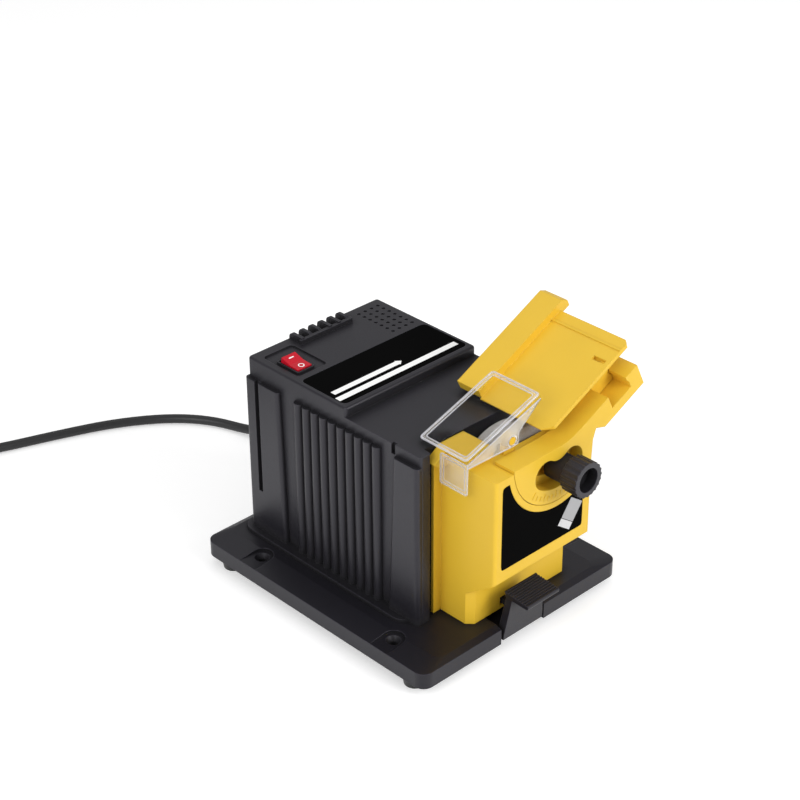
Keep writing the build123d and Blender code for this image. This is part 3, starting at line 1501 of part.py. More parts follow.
with BuildPart() as plug_pins:
    plug_face = plug_plane.offset(plug_neck_length + plug_length)
    with BuildSketch(plug_face):
        with GridLocations(plug_pin_spacing, plug_pin_spacing, 2, 1):
            Circle(plug_pin_r)
    extrude(amount=plug_pin_length)
plug_pins.part.label = "plug_pins"
export_step(plug_pins.part, "parts/plug_pins.step")
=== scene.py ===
"""Bench sharpener with a tilting and sliding tool rest, dressed for its portrait.

Metres, Z up, the bench at Z = 0 and the front towards -Y.
"""

import bmesh
import bpy
import numpy as np
from mathutils import Matrix, Vector


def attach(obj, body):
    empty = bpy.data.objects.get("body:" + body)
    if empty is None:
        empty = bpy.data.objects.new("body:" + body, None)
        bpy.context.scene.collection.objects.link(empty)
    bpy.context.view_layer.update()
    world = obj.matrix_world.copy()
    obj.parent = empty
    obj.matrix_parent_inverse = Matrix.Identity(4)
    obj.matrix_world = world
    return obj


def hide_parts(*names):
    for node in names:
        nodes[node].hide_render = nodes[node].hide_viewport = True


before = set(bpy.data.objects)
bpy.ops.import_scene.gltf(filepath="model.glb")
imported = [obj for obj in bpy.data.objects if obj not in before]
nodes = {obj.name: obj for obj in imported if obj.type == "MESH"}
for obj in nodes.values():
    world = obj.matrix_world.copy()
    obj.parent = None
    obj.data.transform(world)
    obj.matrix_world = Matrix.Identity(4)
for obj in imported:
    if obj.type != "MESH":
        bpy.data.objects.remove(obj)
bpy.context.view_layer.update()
scene = bpy.context.scene
scene.view_settings.view_transform = "Standard"

# Camera: the long lens of a catalogue picture, over the front's left corner
CAMERA_PLACE = (-0.7876, -0.8133, 0.8072)
CAMERA_RIGHT = (0.7201, -0.6939, -0.0050)
CAMERA_UP = (0.3558, 0.3630, 0.8612)
CAMERA_BACK = (-0.5957, -0.6219, 0.5083)
camera_data = bpy.data.cameras.new("portrait_camera")
camera_data.lens = 89.82
camera_data.sensor_width = 36.0
camera_data.clip_start = 0.05
camera = bpy.data.objects.new("portrait_camera", camera_data)
camera_turn = Matrix((CAMERA_RIGHT, CAMERA_UP, CAMERA_BACK)).transposed().to_4x4()
camera.matrix_world = Matrix.Translation(CAMERA_PLACE) @ camera_turn
scene.collection.objects.link(camera)
scene.camera = camera

# Mains cord: its route on the bench, then a coil of two layers and a short tail to the plug
CORD_RADIUS = 0.0036
CORD_ROUTE = np.array([
    (0.0420, 0.128, 0.0340),
    (0.0420, 0.148, 0.0340),
    (0.0425, 0.172, 0.0240),
    (0.0420, 0.196, 0.0100),
    (0.0385, 0.220, 0.0037),
    (0.0280, 0.250, 0.0037),
    (0.0070, 0.276, 0.0037),
    (-0.0290, 0.300, 0.0037),
    (-0.0720, 0.317, 0.0037),
    (-0.1150, 0.332, 0.0037),
    (-0.1480, 0.345, 0.0053),
    (-0.1777, 0.3595, 0.0053),
])
COIL_PITCH = 0.0078
COIL_MIDDLE = 0.0432
COIL_WHOLE_TURNS = 5
COIL_CLIMB_TURNS = 0.5
COIL_TAIL_STEPS = (0.018, 0.034, 0.050)
POINTS_A_TURN = 18


def coil_points():
    """A flat spiral in and out again.

    The radius is the inner one plus the pitch for every turn from the middle, and the height
    rises by one pitch on half a cosine wave over the middle half turn.
    """
    heading = CORD_ROUTE[-1] - CORD_ROUTE[-2]
    heading /= np.linalg.norm(heading)
    entry = CORD_ROUTE[-1] + 2 * CORD_RADIUS * heading
    first = np.arctan2(heading[1], heading[0]) - np.pi / 2
    turns = COIL_WHOLE_TURNS + (np.pi - first) / (2 * np.pi)
    inner = COIL_MIDDLE - COIL_PITCH * turns / 4
    outer = COIL_MIDDLE + COIL_PITCH * turns / 4
    centre = entry[:2] - outer * np.array((np.cos(first), np.sin(first)))
    along = np.linspace(0, turns, int(turns * POINTS_A_TURN) + 1)
    angle = first + 2 * np.pi * along
    # a quadratic spline runs inside its points by this share of the radius
    outset = 4 / (3 + np.cos(2 * np.pi / POINTS_A_TURN))
    radius = (inner + COIL_PITCH * np.abs(along - turns / 2)) * outset
    climb = np.clip((along - turns / 2) / COIL_CLIMB_TURNS + 0.5, 0, 1)
    height = entry[2] + COIL_PITCH * (1 - np.cos(np.pi * climb)) / 2
    ring = np.stack((
        centre[0] + radius * np.cos(angle),
        centre[1] + radius * np.sin(angle),
        height,
    ), axis=1)
    tail = ring[-1] - np.outer(COIL_TAIL_STEPS, (0, 1, 0))
    return np.concatenate((ring, tail))


def cord_meshes():
    """One smooth line through the route and the coil, as its points and as a tube round them."""
    line = np.concatenate((CORD_ROUTE, coil_points()))
    curve = bpy.data.curves.new("cord_route", "CURVE")
    curve.dimensions = "3D"
    curve.resolution_u = 5
    spline = curve.splines.new("NURBS")
    spline.points.add(len(line) - 1)
    spline.points.foreach_set("co", np.c_[line, np.ones(len(line))].ravel())
    spline.order_u = 3
    spline.use_endpoint_u = True
    holder = bpy.data.objects.new("cord_route", curve)
    bare = bpy.data.meshes.new_from_object(holder)
    path = np.empty(3 * len(bare.vertices))
    bare.vertices.foreach_get("co", path)
    curve.bevel_depth = CORD_RADIUS
    curve.bevel_resolution = 5
    curve.use_fill_caps = True
    tube = bpy.data.meshes.new_from_object(holder)
    tube.polygons.foreach_set("use_smooth", np.ones(len(tube.polygons), bool))
    bpy.data.objects.remove(holder)
    return path.reshape(-1, 3), tube


cord_path, cord_tube = cord_meshes()
mains_cord = bpy.data.objects.new("mains_cord", cord_tube)
scene.collection.objects.link(mains_cord)
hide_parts("cord", "cord_coil")
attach(mains_cord, "machine")


# Shader building blocks

def group_tree(name, inputs, outputs):
    """A shader group with named number or colour sockets; gives the tree and its two ends."""
    tree = bpy.data.node_groups.new(name, "ShaderNodeTree")
    for label, kind, value in inputs:
        socket = tree.interface.new_socket(label, in_out="INPUT", socket_type=kind)
        socket.default_value = value
    for label, kind in outputs:
        tree.interface.new_socket(label, in_out="OUTPUT", socket_type=kind)
    return tree, tree.nodes.new("NodeGroupInput"), tree.nodes.new("NodeGroupOutput")


def put(tree, kind, links=(), **values):
    """A node with its settings; each input is linked from a socket or set to a value."""
    node = tree.nodes.new(kind)
    for key, value in values.items():
        setattr(node, key, value)
    for name, source in links:
        if hasattr(source, "is_output"):
            tree.links.new(source, node.inputs[name])
        else:
            node.inputs[name].default_value = source
    return node


def remap(tree, source, low, high, first, last):
    """The range from low to high of a value, carried to first and last."""
    ends = [(0, source), (1, low), (2, high), (3, first), (4, last)]
    return put(tree, "ShaderNodeMapRange", ends).outputs[0]


def mixed(tree, factor, first, second, kind="RGBA"):
    """The first colour or value where the factor is 0, the second where it is 1."""
    ends = [("Factor", factor), ("A", first), ("B", second)]
    return put(tree, "ShaderNodeMix", ends, data_type=kind).outputs["Result"]


def noise(tree, place, scale, detail):
    """Soft noise at a place."""
    ends = [("Vector", place), ("Scale", scale), ("Detail", detail)]
    return put(tree, "ShaderNodeTexNoise", ends).outputs["Fac"]


def object_place(tree):
    """The object's own coordinates."""
    return put(tree, "ShaderNodeTexCoord").outputs["Object"]


CLOUD_SCALE = 25.0
GRAIN_HEIGHT = 0.0003
GRAIN_GLOSS = 0.06
NOISE_LOW, NOISE_HIGH = 0.3, 0.7
# the cosine between the softened normal and the face's own, where the worn, painted-highlight tint of
# the edges starts and where it is full
WEAR_AND_HIGHLIGHT_STARTS, WEAR_AND_HIGHLIGHT_FULL = 0.99, 0.75
# how far the walls of a groove are felt, how open its bottom and a free face are, and the painted
# shade that darkens its colour
GROOVE_REACH = 0.009
GROOVE_CLOSED, GROOVE_OPEN = 0.52, 0.94
GROOVE_PAINTED_SHADE = 0.1


def make_moulded_group():
    """What changes over a moulded surface.

    Normal has edges softened by the Bevel node and a fine grain in its bump. Edge is where the
    softened normal leaves the face's own. Open falls off in grooves and corners: an ambient
    occlusion mask that paints shade there. Cloud and Grain are slow and fine noise.
    """
    tree, given, out = group_tree(
        "moulded_surface",
        [("Edge Radius", "NodeSocketFloat", 0.0006), ("Grain Scale", "NodeSocketFloat", 900.0),
         ("Grain Depth", "NodeSocketFloat", 0.1)],
        [("Normal", "NodeSocketVector"), ("Edge", "NodeSocketFloat"), ("Cloud", "NodeSocketFloat"),
         ("Grain", "NodeSocketFloat"), ("Open_Unshaded", "NodeSocketFloat")],
    )
    place = object_place(tree)
    soft = put(tree, "ShaderNodeBevel", [("Radius", given.outputs["Edge Radius"])], samples=4)
    face = put(tree, "ShaderNodeNewGeometry")
    same = put(
        tree, "ShaderNodeVectorMath",
        [(0, soft.outputs["Normal"]), (1, face.outputs["True Normal"])], operation="DOT_PRODUCT",
    )
    # ambient occlusion: the mask of the painted shade in grooves and corners
    around = put(tree, "ShaderNodeAmbientOcclusion", [("Distance", GROOVE_REACH)], samples=6)
    grain = noise(tree, place, scale=given.outputs["Grain Scale"], detail=2.0)
    bump = put(
        tree, "ShaderNodeBump",
        [("Strength", given.outputs["Grain Depth"]), ("Distance", GRAIN_HEIGHT),
         ("Height", grain), ("Normal", soft.outputs["Normal"])],
    )
    results = {
        "Normal": bump.outputs["Normal"],
        "Edge": remap(tree, same.outputs["Value"], WEAR_AND_HIGHLIGHT_STARTS, WEAR_AND_HIGHLIGHT_FULL, 0.0, 1.0),
        "Cloud": noise(tree, place, scale=CLOUD_SCALE, detail=4.0),
        "Grain": grain,
        "Open_Unshaded": remap(tree, around.outputs["AO"], GROOVE_CLOSED, GROOVE_OPEN, 0.0, 1.0),
    }
    for label, source in results.items():
        tree.links.new(source, out.inputs[label])
    return tree


moulded_group = make_moulded_group()


def tint(color, factor):
    """The colour made lighter or darker by a factor."""
    return tuple(min(1.0, channel * factor) for channel in color) + (1.0,)


def new_material(name):
    """A node material with its tree and its shader."""
    material = bpy.data.materials.new(name)
    material.use_nodes = True
    tree = material.node_tree
    shader = next(node for node in tree.nodes if node.type == "BSDF_PRINCIPLED")
    return material, tree, shader


def moulded_surface(tree, edge, grain_scale, grain_depth):
    """The moulded group placed in a material with its own values."""
    surface = put(tree, "ShaderNodeGroup", node_tree=moulded_group)
    surface.inputs["Edge Radius"].default_value = edge
    surface.inputs["Grain Scale"].default_value = grain_scale
    surface.inputs["Grain Depth"].default_value = grain_depth
    return surface.outputs


def moulded(name, color, rough, grain_scale=900.0, grain_depth=0.1, edge=0.0006, wear=1.25,
            spread=0.12, metal=0.0, specular=0.5, sheen_tint=(1.0, 1.0, 1.0), groove_rough=None):
    """A moulded or cast finish.

    The colour drifts slowly, the edges take another shade, worn and, where much lighter,
    a painted highlight, the grain shows in the gloss, and the grooves are dull and darkened
    by painted shade when their roughness is given.
    """
    material, tree, shader = new_material(name)
    surface = moulded_surface(tree, edge, grain_scale, grain_depth)
    body = mixed(tree, surface["Cloud"], tint(color, 1 - spread), tint(color, 1 + spread))
    # edge tint: worn colour, and on the black plastics, four to six times lighter, a painted highlight
    tone = mixed(tree, surface["Edge"], body, tint(color, wear))
    dull = remap(
        tree, surface["Grain"], NOISE_LOW, NOISE_HIGH, rough - GRAIN_GLOSS, rough + GRAIN_GLOSS
    )
    if groove_rough is not None:
        # painted shade: grooves and corners darkened to a tenth of the colour, and their gloss dulled
        tone = mixed(tree, surface["Open_Unshaded"], tint(color, GROOVE_PAINTED_SHADE), tone)
        dull = mixed(tree, surface["Open_Unshaded"], groove_rough, dull, "FLOAT")
    tree.links.new(tone, shader.inputs["Base Color"])
    tree.links.new(dull, shader.inputs["Roughness"])
    tree.links.new(surface["Normal"], shader.inputs["Normal"])
    shader.inputs["Metallic"].default_value = metal
    shader.inputs["Specular IOR Level"].default_value = specular
    shader.inputs["Specular Tint"].default_value = (*sheen_tint, 1.0)
    return material


BLACK, BLACK_GLOSS = (0.0092, 0.0086, 0.0120), (0.94, 0.92, 1.0)


def black_moulded(name, **finish):
    """The machine's black plastic, with a faintly violet gloss."""
    return moulded(name, BLACK, 0.36, grain_scale=1400, sheen_tint=BLACK_GLOSS, **finish)


def ink(name, color, spread):
    """Print on a plate: smooth and unworn."""
    return moulded(name, color, 0.5, grain_depth=0.02, edge=0.0001, wear=1.0, spread=spread)


def bare_metal(name, color, **finish):
    """Metal with no coat of paint."""
    return moulded(name, color, metal=1.0, **finish)


# black plastics: edges painted four to six times lighter as a highlight, and painted shade in the
# grooves
black_plastic = black_moulded(
    "black_plastic", grain_depth=0.12, edge=0.0009, wear=4.5, groove_rough=0.95
)
black_ribbed = black_moulded(
    "black_ribbed_plastic", grain_depth=0.16, edge=0.0008, wear=5.0, groove_rough=0.95
)
black_base = black_moulded(
    "black_base_plastic", grain_depth=0.12, edge=0.0007, wear=6.0, specular=0.36, groove_rough=0.9
)
yellow_plastic = moulded(
    "yellow_plastic", (0.76, 0.485, 0.036), 0.42, grain_scale=700, grain_depth=0.05, edge=0.0008,
    wear=1.12, spread=0.05, specular=0.3,
)
red_plastic = moulded(
    "red_plastic", (0.52, 0.006, 0.020), 0.3, grain_depth=0.03, edge=0.0005, wear=1.2, spread=0.05,
    specular=0.3,
)
black_rubber = moulded(
    "black_rubber", (0.011, 0.011, 0.012), 0.45, grain_scale=1800, grain_depth=0.1, edge=0.0004,
    wear=1.8,
)
plate_black = moulded(
    "plate_black", (0.0042, 0.0042, 0.0042), 0.55, grain_depth=0.02, edge=0.0002, wear=1.4,
    specular=0.0,
)
pale_plastic = moulded(
    "pale_plastic", (0.62, 0.60, 0.54), 0.5, grain_depth=0.06, wear=1.1, spread=0.05
)
print_pale = ink("print_pale", (0.60, 0.60, 0.61), 0.06)
print_white = ink("print_white", (0.97, 0.97, 0.96), 0.02)
print_grey = ink("print_grey", (0.36, 0.36, 0.37), 0.08)
steel = bare_metal(
    "machined_steel", (0.55, 0.56, 0.58), rough=0.32, grain_scale=500, grain_depth=0.05, wear=1.1
)
sheet_steel = bare_metal(
    "sheet_steel", (0.24, 0.24, 0.26), rough=0.45, grain_scale=500, grain_depth=0.08, wear=1.3
)
cast_metal = bare_metal(
    "cast_metal", (0.55, 0.56, 0.57), rough=0.5, grain_scale=800, grain_depth=0.25, wear=1.1
)
copper = bare_metal(
    "copper_wire", (0.62, 0.22, 0.08), rough=0.35, grain_scale=300, grain_depth=0.2, wear=1.2
)
plated_pins = bare_metal("plated_pins", (0.72, 0.68, 0.58), rough=0.25, grain_depth=0.03, wear=1.1)


def make_abrasive():
    """Bonded grit: fine and slow noise from dark to pale grey, with cells of grit in the bump."""
    material, tree, shader = new_material("abrasive_stone")
    place = object_place(tree)
    grit = put(tree, "ShaderNodeTexVoronoi", [("Vector", place), ("Scale", 1500.0)])
    fine = noise(tree, place, scale=900.0, detail=6.0)
    slow = noise(tree, place, scale=60.0, detail=3.0)
    fleck = remap(tree, fine, NOISE_LOW, NOISE_HIGH, 0.0, 1.0)
    base = mixed(tree, fleck, (0.24, 0.23, 0.215, 1), (0.44, 0.42, 0.40, 1))
    shade = mixed(tree, slow, base, (0.38, 0.36, 0.34, 1))
    bump = put(
        tree, "ShaderNodeBump",
        [("Strength", 0.5), ("Distance", 0.0004), ("Height", grit.outputs["Distance"])],
    )
    tree.links.new(shade, shader.inputs["Base Color"])
    tree.links.new(bump.outputs["Normal"], shader.inputs["Normal"])
    shader.inputs["Roughness"].default_value = 0.9
    return material


def make_clear():
    """Thin clear panes: light goes almost straight through, and a faint gloss lies on both faces."""
    material, tree, shader = new_material("clear_plastic")
    surface = moulded_surface(tree, edge=0.0005, grain_scale=120.0, grain_depth=0.01)
    body = mixed(tree, surface["Cloud"], (0.985, 0.985, 0.985, 1), (0.965, 0.965, 0.975, 1))
    tree.links.new(body, shader.inputs["Base Color"])
    tree.links.new(surface["Normal"], shader.inputs["Normal"])
    shader.inputs["Transmission Weight"].default_value = 1.0
    shader.inputs["Roughness"].default_value = 0.02
    shader.inputs["IOR"].default_value = 1.03
    shader.inputs["Coat Weight"].default_value = 0.04
    shader.inputs["Coat Roughness"].default_value = 0.04
    return material


def make_clear_rim():
    """The rounded rims of clear panes: a painted whitish highlight, denser where they turn away,
    clearer where they face the eye.
    """
    material, tree, shader = new_material("clear_rim")
    cloud = noise(tree, object_place(tree), scale=90.0, detail=2.0)
    glancing = put(tree, "ShaderNodeLayerWeight", [("Blend", 0.5)])
    # painted highlight: the rim grows whiter and more opaque as it turns away from the eye
    painted_glint = remap(tree, glancing.outputs["Facing"], 0.1, 0.8, 0.35, 0.9)
    body = mixed(tree, cloud, (0.66, 0.66, 0.73, 1), (0.86, 0.86, 0.91, 1))
    tree.links.new(body, shader.inputs["Base Color"])
    tree.links.new(painted_glint, shader.inputs["Alpha"])
    shader.inputs["Roughness"].default_value = 0.12
    return material


def make_painted_reflection(name, veil):
    """Clear walls with a whitish, slightly yellow veil that a slow noise makes uneven: a painted
    reflection of light and of the yellow body seen in the plastic.
    """
    material, tree, shader = new_material(name)
    cloud = noise(tree, object_place(tree), scale=70.0, detail=3.0)
    # painted reflection: a pale yellowish colour, partly opaque, in place of light and yellow parts
    # seen in the clear plastic
    body = mixed(tree, cloud, (0.80, 0.76, 0.66, 1), (0.92, 0.90, 0.84, 1))
    painted_reflection_alpha = remap(tree, cloud, NOISE_LOW, NOISE_HIGH, 0.8 * veil, 1.2 * veil)
    tree.links.new(body, shader.inputs["Base Color"])
    tree.links.new(painted_reflection_alpha, shader.inputs["Alpha"])
    shader.inputs["Roughness"].default_value = 0.15
    return material


abrasive = make_abrasive()
clear_plastic = make_clear()
clear_rim = make_clear_rim()
painted_reflection_light = make_painted_reflection("clear_painted_reflection_light", 0.16)
painted_reflection_heavy = make_painted_reflection("clear_painted_reflection_heavy", 0.34)

node_finishes = (
    (black_base, ("base_plate", "release_latch")),
    (black_ribbed, ("motor_housing",)),
    (black_plastic, ("cooling_fan", "switch_body", "clamp_knob", "plug_body")),
    (black_rubber, ("rubber_feet", "cord_strain_relief", "cord", "cord_coil", "cord_tie")),
    (yellow_plastic, ("attachment_body", "shield_pin", "angle_arm", "tool_carriage")),
    (red_plastic, ("rocker",)),
    (pale_plastic, ("terminal_block",)),
    (clear_plastic, ("eye_shield",)),
    (abrasive, ("grinding_wheel",)),
    (cast_metal, ("front_bearing_bracket", "rear_bearing_bracket")),
    (sheet_steel, ("stator_core", "rotor")),
    (copper, ("stator_windings",)),
    (plated_pins, ("plug_pins",)),
    (steel, ("housing_screws", "bracket_screws", "front_bearing", "rear_bearing", "motor_bolts",
             "motor_spacers", "motor_shaft", "wheel_hub", "wheel_washer", "wheel_nut", "clamp_stud",
             "latch_pin")),
)
for material, node_names in node_finishes:
    for node_name in node_names:
        mesh = nodes[node_name].data
        mesh.materials.clear()
        mesh.materials.append(material)
mains_cord.data.materials.append(black_rubber)


# New pieces as surfaces on grids

def grid_faces(rows, columns, loop_rows=False, loop_columns=False):
    """The quads of a grid of points, closed round either way when asked."""
    row = np.arange(rows if loop_rows else rows - 1)
    column = np.arange(columns if loop_columns else columns - 1)
    a, b = np.meshgrid(row, column, indexing="ij")
    c, d = (a + 1) % rows, (b + 1) % columns
    corners = (a * columns + b, c * columns + b, c * columns + d, a * columns + d)
    return np.stack(corners, axis=-1).reshape(-1, 4)


def mesh_piece(name, points, faces, material, body, slot, smooth=False):
    """A mesh object from arrays of points and faces that rides on a body."""
    mesh = bpy.data.meshes.new(name)
    mesh.from_pydata(points.reshape(-1, 3).tolist(), [], [list(map(int, face)) for face in faces])
    mesh.update()
    mesh.materials.append(material)
    if smooth:
        mesh.polygons.foreach_set("use_smooth", np.ones(len(mesh.polygons), bool))
    piece = bpy.data.objects.new(name, mesh)
    scene.collection.objects.link(piece)
    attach(piece, body)
    return piece


def rounded_outline(low, high, corner, steps=6):
    """A rectangle's outline as pairs: four quarter circles round the corners' centres,
    counter-clockwise from the upper right."""
    left, right = low[0] + corner, high[0] - corner
    bottom, top = low[1] + corner, high[1] - corner
    centres = np.array(((right, top), (left, top), (left, bottom), (right, bottom)))
    angle = np.linspace(0, np.pi / 2, steps) + np.arange(4)[:, None] * np.pi / 2
    arcs = centres[:, None] + corner * np.stack((np.cos(angle), np.sin(angle)), axis=-1)
    return arcs.reshape(-1, 2)


def slab_from_outline(outline, bottom, top, lay):
    """A thin plate: the outline's ring at the bottom and at the top, joined by sides and closed
    by two caps. lay turns (x, y, height) into a place."""
    count = len(outline)
    ring = np.arange(count)
    flat = np.concatenate([np.c_[outline, np.full(count, level)] for level in (bottom, top)])
    sides = np.stack((ring, (ring + 1) % count, (ring + 1) % count + count, ring + count), axis=1)
    faces = [*sides, ring[::-1], ring + count]
    return lay(flat), faces


def level_lay(flat):
    """Plates that lie level keep their x, y and height."""
    return flat


def front_lay(flat):
    """Plates on the front face: x stays, y is up, and the height stands out towards -Y."""
    return np.stack((flat[:, 0], -flat[:, 2], flat[:, 1]), axis=1)


def left_lay(flat):
    """Plates that face left: x runs towards -Y, y is up, and the height stands out towards -X."""
    return np.stack((-flat[:, 2], -flat[:, 0], flat[:, 1]), axis=1)


def joined(parts):
    """Several (points, faces) pairs as one."""
    points, faces, count = [], [], 0
    for part_points, part_faces in parts:
        points.append(part_points)
        faces.extend(np.asarray(face) + count for face in part_faces)
        count += len(part_points)
    return np.concatenate(points), faces


def ring_band(centre, inner, outer, bottom, top, lay, steps=32):
    """A flat ring: the four corners of its section, carried round a circle."""
    angle = np.linspace(0, 2 * np.pi, steps, endpoint=False)
    section = np.array(((inner, bottom), (outer, bottom), (outer, top), (inner, top)))
    radius, height = section[:, 0], section[:, 1]
    flat = np.stack((
        centre[0] + np.outer(np.cos(angle), radius),
        centre[1] + np.outer(np.sin(angle), radius),
        np.tile(height, (steps, 1)),
    ), axis=-1)
    return lay(flat.reshape(-1, 3)), grid_faces(steps, len(section), True, True)


def rod_round(path, up, radius, sides=8):
    """A round rod along a closed path that lies in one plane, whose normal is up: at each point a
    circle spanned by up and by the path's own side."""
    path, up = np.asarray(path, float), np.asarray(up, float)
    forward = np.roll(path, -1, axis=0) - np.roll(path, 1, axis=0)
    forward /= np.linalg.norm(forward, axis=1)[:, None]
    side = np.cross(forward, up)
    angle = np.linspace(0, 2 * np.pi, sides, endpoint=False)
    points = path[:, None] + radius * (
        np.cos(angle)[None, :, None] * side[:, None] + np.sin(angle)[None, :, None] * up
    )
    return points.reshape(-1, 3), list(grid_faces(len(path), sides, True, True))


# The housing's vent rack: every finger gets its round shoulder at the back
RACK_FRONT, RACK_REAR = 0.0845, 0.0975
RACK_FOOT, RACK_TOP = 0.1500, 0.1594
RACK_ROUND = 0.0036
SAME_PLACE = 0.00002
MERGE_REACH = 0.000002
FLAT_ANGLE, CREASE_ANGLE = np.radians(0.5), np.radians(25)


def rounded_housing():
    """A copy of the housing with its flat faces joined again near the rack, where the edges that
    lie along the square shoulders get a quarter-circle bevel."""
    shell = bmesh.new()
    shell.from_mesh(nodes["motor_housing"].data)
    bmesh.ops.remove_doubles(shell, verts=shell.verts, dist=MERGE_REACH)
    near = [
        edge for edge in shell.edges
        if all(vert.co.y > RACK_FRONT and vert.co.z > RACK_FOOT for vert in edge.verts)
    ]
    bmesh.ops.dissolve_limit(shell, angle_limit=FLAT_ANGLE, edges=near, verts=[])
    shoulders = [
        edge for edge in shell.edges
        if all(
            abs(vert.co.y - RACK_REAR) < SAME_PLACE and abs(vert.co.z - RACK_TOP) < SAME_PLACE
            for vert in edge.verts
        )
    ]
    bmesh.ops.bevel(
        shell, geom=shoulders, offset=RACK_ROUND, offset_type="OFFSET", segments=6, profile=0.5,
        affect="EDGES",
    )
    points = np.array([vert.co for vert in shell.verts])
    shell.verts.index_update()
    faces = [[vert.index for vert in face.verts] for face in shell.faces]
    shell.free()
    return points, faces


housing_shell = mesh_piece(
    "housing_shell", *rounded_housing(), black_ribbed, "machine", "black_plastic", smooth=True
)
housing_shell.data.set_sharp_from_angle(angle=CREASE_ANGLE)
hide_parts("motor_housing")

# The bare plate on top, with a long plain bar and a shorter one that ends in an arrow
SLAB_TOP = 0.1554
TOP_PLATE_FOOT, TOP_PLATE_FACE = SLAB_TOP - 0.0005, SLAB_TOP - 0.0001
TOP_INK_FOOT, TOP_INK_FACE = SLAB_TOP - 0.00012, SLAB_TOP - 0.00005
top_outline = rounded_outline((-0.0527, 0.0053), (0.0597, 0.0472), corner=0.0038)
long_bar = rounded_outline((-0.0520, 0.0102), (0.0562, 0.0150), corner=0.0003, steps=3)
arrow_bar = np.array((
    (-0.0489, 0.0184), (0.0090, 0.0184), (0.0090, 0.0174), (0.0128, 0.0206), (0.0090, 0.0238),
    (0.0090, 0.0228), (-0.0489, 0.0228),
))
mesh_piece(
    "top_plate", *slab_from_outline(top_outline, TOP_PLATE_FOOT, TOP_PLATE_FACE, level_lay),
    plate_black, "machine", "black_plastic",
)
for sign_name, outline in (("top_long_bar", long_bar), ("top_arrow_bar", arrow_bar)):
    mesh_piece(
        sign_name, *slab_from_outline(outline, TOP_INK_FOOT, TOP_INK_FACE, level_lay),
        print_white, "machine", "pale_plastic",
    )

# The bare plate on the front, cut round under the arm's disc
ARM_PIVOT = np.array((0.023, 0.144))
FRONT = 0.112
PLATE_LOW, PLATE_HIGH = np.array((-0.0284, 0.0715)), np.array((0.0482, 0.1343))
PLATE_GAP = 0.0003
PLATE_ARC = 0.0460
PLATE_CORNER = 0.0016
PLATE_BED, PLATE_FACE = FRONT - 0.0007, FRONT + 0.0001


def front_plate_outline():
    """Round the plate counter-clockwise: the upper left corner, the two lower ones, and the arc
    round the arm's pivot from the right edge to the top."""
    low, high = PLATE_LOW + PLATE_GAP, PLATE_HIGH - PLATE_GAP
    corners = rounded_outline(low, high, PLATE_CORNER).reshape(4, -1, 2)
    arc_radius = PLATE_ARC + PLATE_GAP
    right = np.arccos((high[0] - ARM_PIVOT[0]) / arc_radius)
    top = np.pi - np.arcsin((high[1] - ARM_PIVOT[1]) / arc_radius)
    angle = np.linspace(2 * np.pi - right, top, 40)
    arc = ARM_PIVOT + arc_radius * np.stack((np.cos(angle), np.sin(angle)), axis=1)
    return np.concatenate((*corners[1:], arc))


mesh_piece(
    "front_plate", *slab_from_outline(front_plate_outline(), PLATE_BED, PLATE_FACE, front_lay),
    plate_black, "machine", "black_plastic",
)

# A plain blade sign low on the right of the front plate: a shank and its sharpened end
BLADE_INK_FOOT, BLADE_INK_FACE = PLATE_FACE - 0.00004, PLATE_FACE + 0.00004
BLADE_FOOT = np.array((0.0300, 0.0778))
BLADE_TURN = np.radians(54)
BLADE_HALF, BLADE_BEVEL, BLADE_LENGTH = 0.0068, 0.0053, 0.0206
BLADE_GAP = 0.0004
blade_axes = np.array((
    (np.sin(BLADE_TURN), -np.cos(BLADE_TURN)),
    (np.cos(BLADE_TURN), np.sin(BLADE_TURN)),
))


def blade_band(start, stop):
    """The part of the blade between two distances from its lower end."""
    corners = np.array((
        (-BLADE_HALF, start), (BLADE_HALF, start), (BLADE_HALF, stop), (-BLADE_HALF, stop),
    ))
    outline = BLADE_FOOT + corners @ blade_axes
    return slab_from_outline(outline, BLADE_INK_FOOT, BLADE_INK_FACE, front_lay)


mesh_piece(
    "blade_sign_shank", *blade_band(BLADE_BEVEL + BLADE_GAP, BLADE_LENGTH), print_grey, "machine",
    "pale_plastic",
)
mesh_piece(
    "blade_sign_bevel", *blade_band(0, BLADE_BEVEL), print_pale, "machine", "pale_plastic"
)

# Raised ticks on the lower part of the arm's disc, a longer one every third
TICK_ANGLES = np.radians(np.arange(-128, -55, 6.0))
TICK_LONG_START, TICK_SHORT_START, TICK_END = 0.0338, 0.0356, 0.0388
TICK_HALF = 0.0003
TICK_FOOT, TICK_FACE = FRONT - 0.0002, FRONT + 0.00035


def disc_tick(angle, start):
    """A bar along the radius at an angle, from its start to the ticks' end."""
    corners = np.array((
        (start, -TICK_HALF), (TICK_END, -TICK_HALF), (TICK_END, TICK_HALF), (start, TICK_HALF),
    ))
    axes = np.array(((np.cos(angle), np.sin(angle)), (-np.sin(angle), np.cos(angle))))
    return slab_from_outline(ARM_PIVOT + corners @ axes, TICK_FOOT, TICK_FACE, front_lay)


ticks = [
    disc_tick(angle, TICK_SHORT_START if count % 3 else TICK_LONG_START)
    for count, angle in enumerate(TICK_ANGLES)
]
mesh_piece("disc_ticks", *joined(ticks), yellow_plastic, "angle_arm", "yellow_plastic")

# Signs on the two faces of the rocker: a bar behind and a ring in front
ROCKER_MIDDLE = np.array((-0.0405, 0.0665, 0.1520))
ROCKER_TILT = np.radians(10)
ROCKER_VALLEY = 0.0052
ROCKER_FACE_SLOPE = np.arctan2(0.0011, 0.00843)
ROCKER_INK_FOOT, ROCKER_INK_FACE = -0.00004, 0.00006
RING_CENTRE, RING_INNER, RING_OUTER = (0, 0.0048), 0.0015, 0.0022


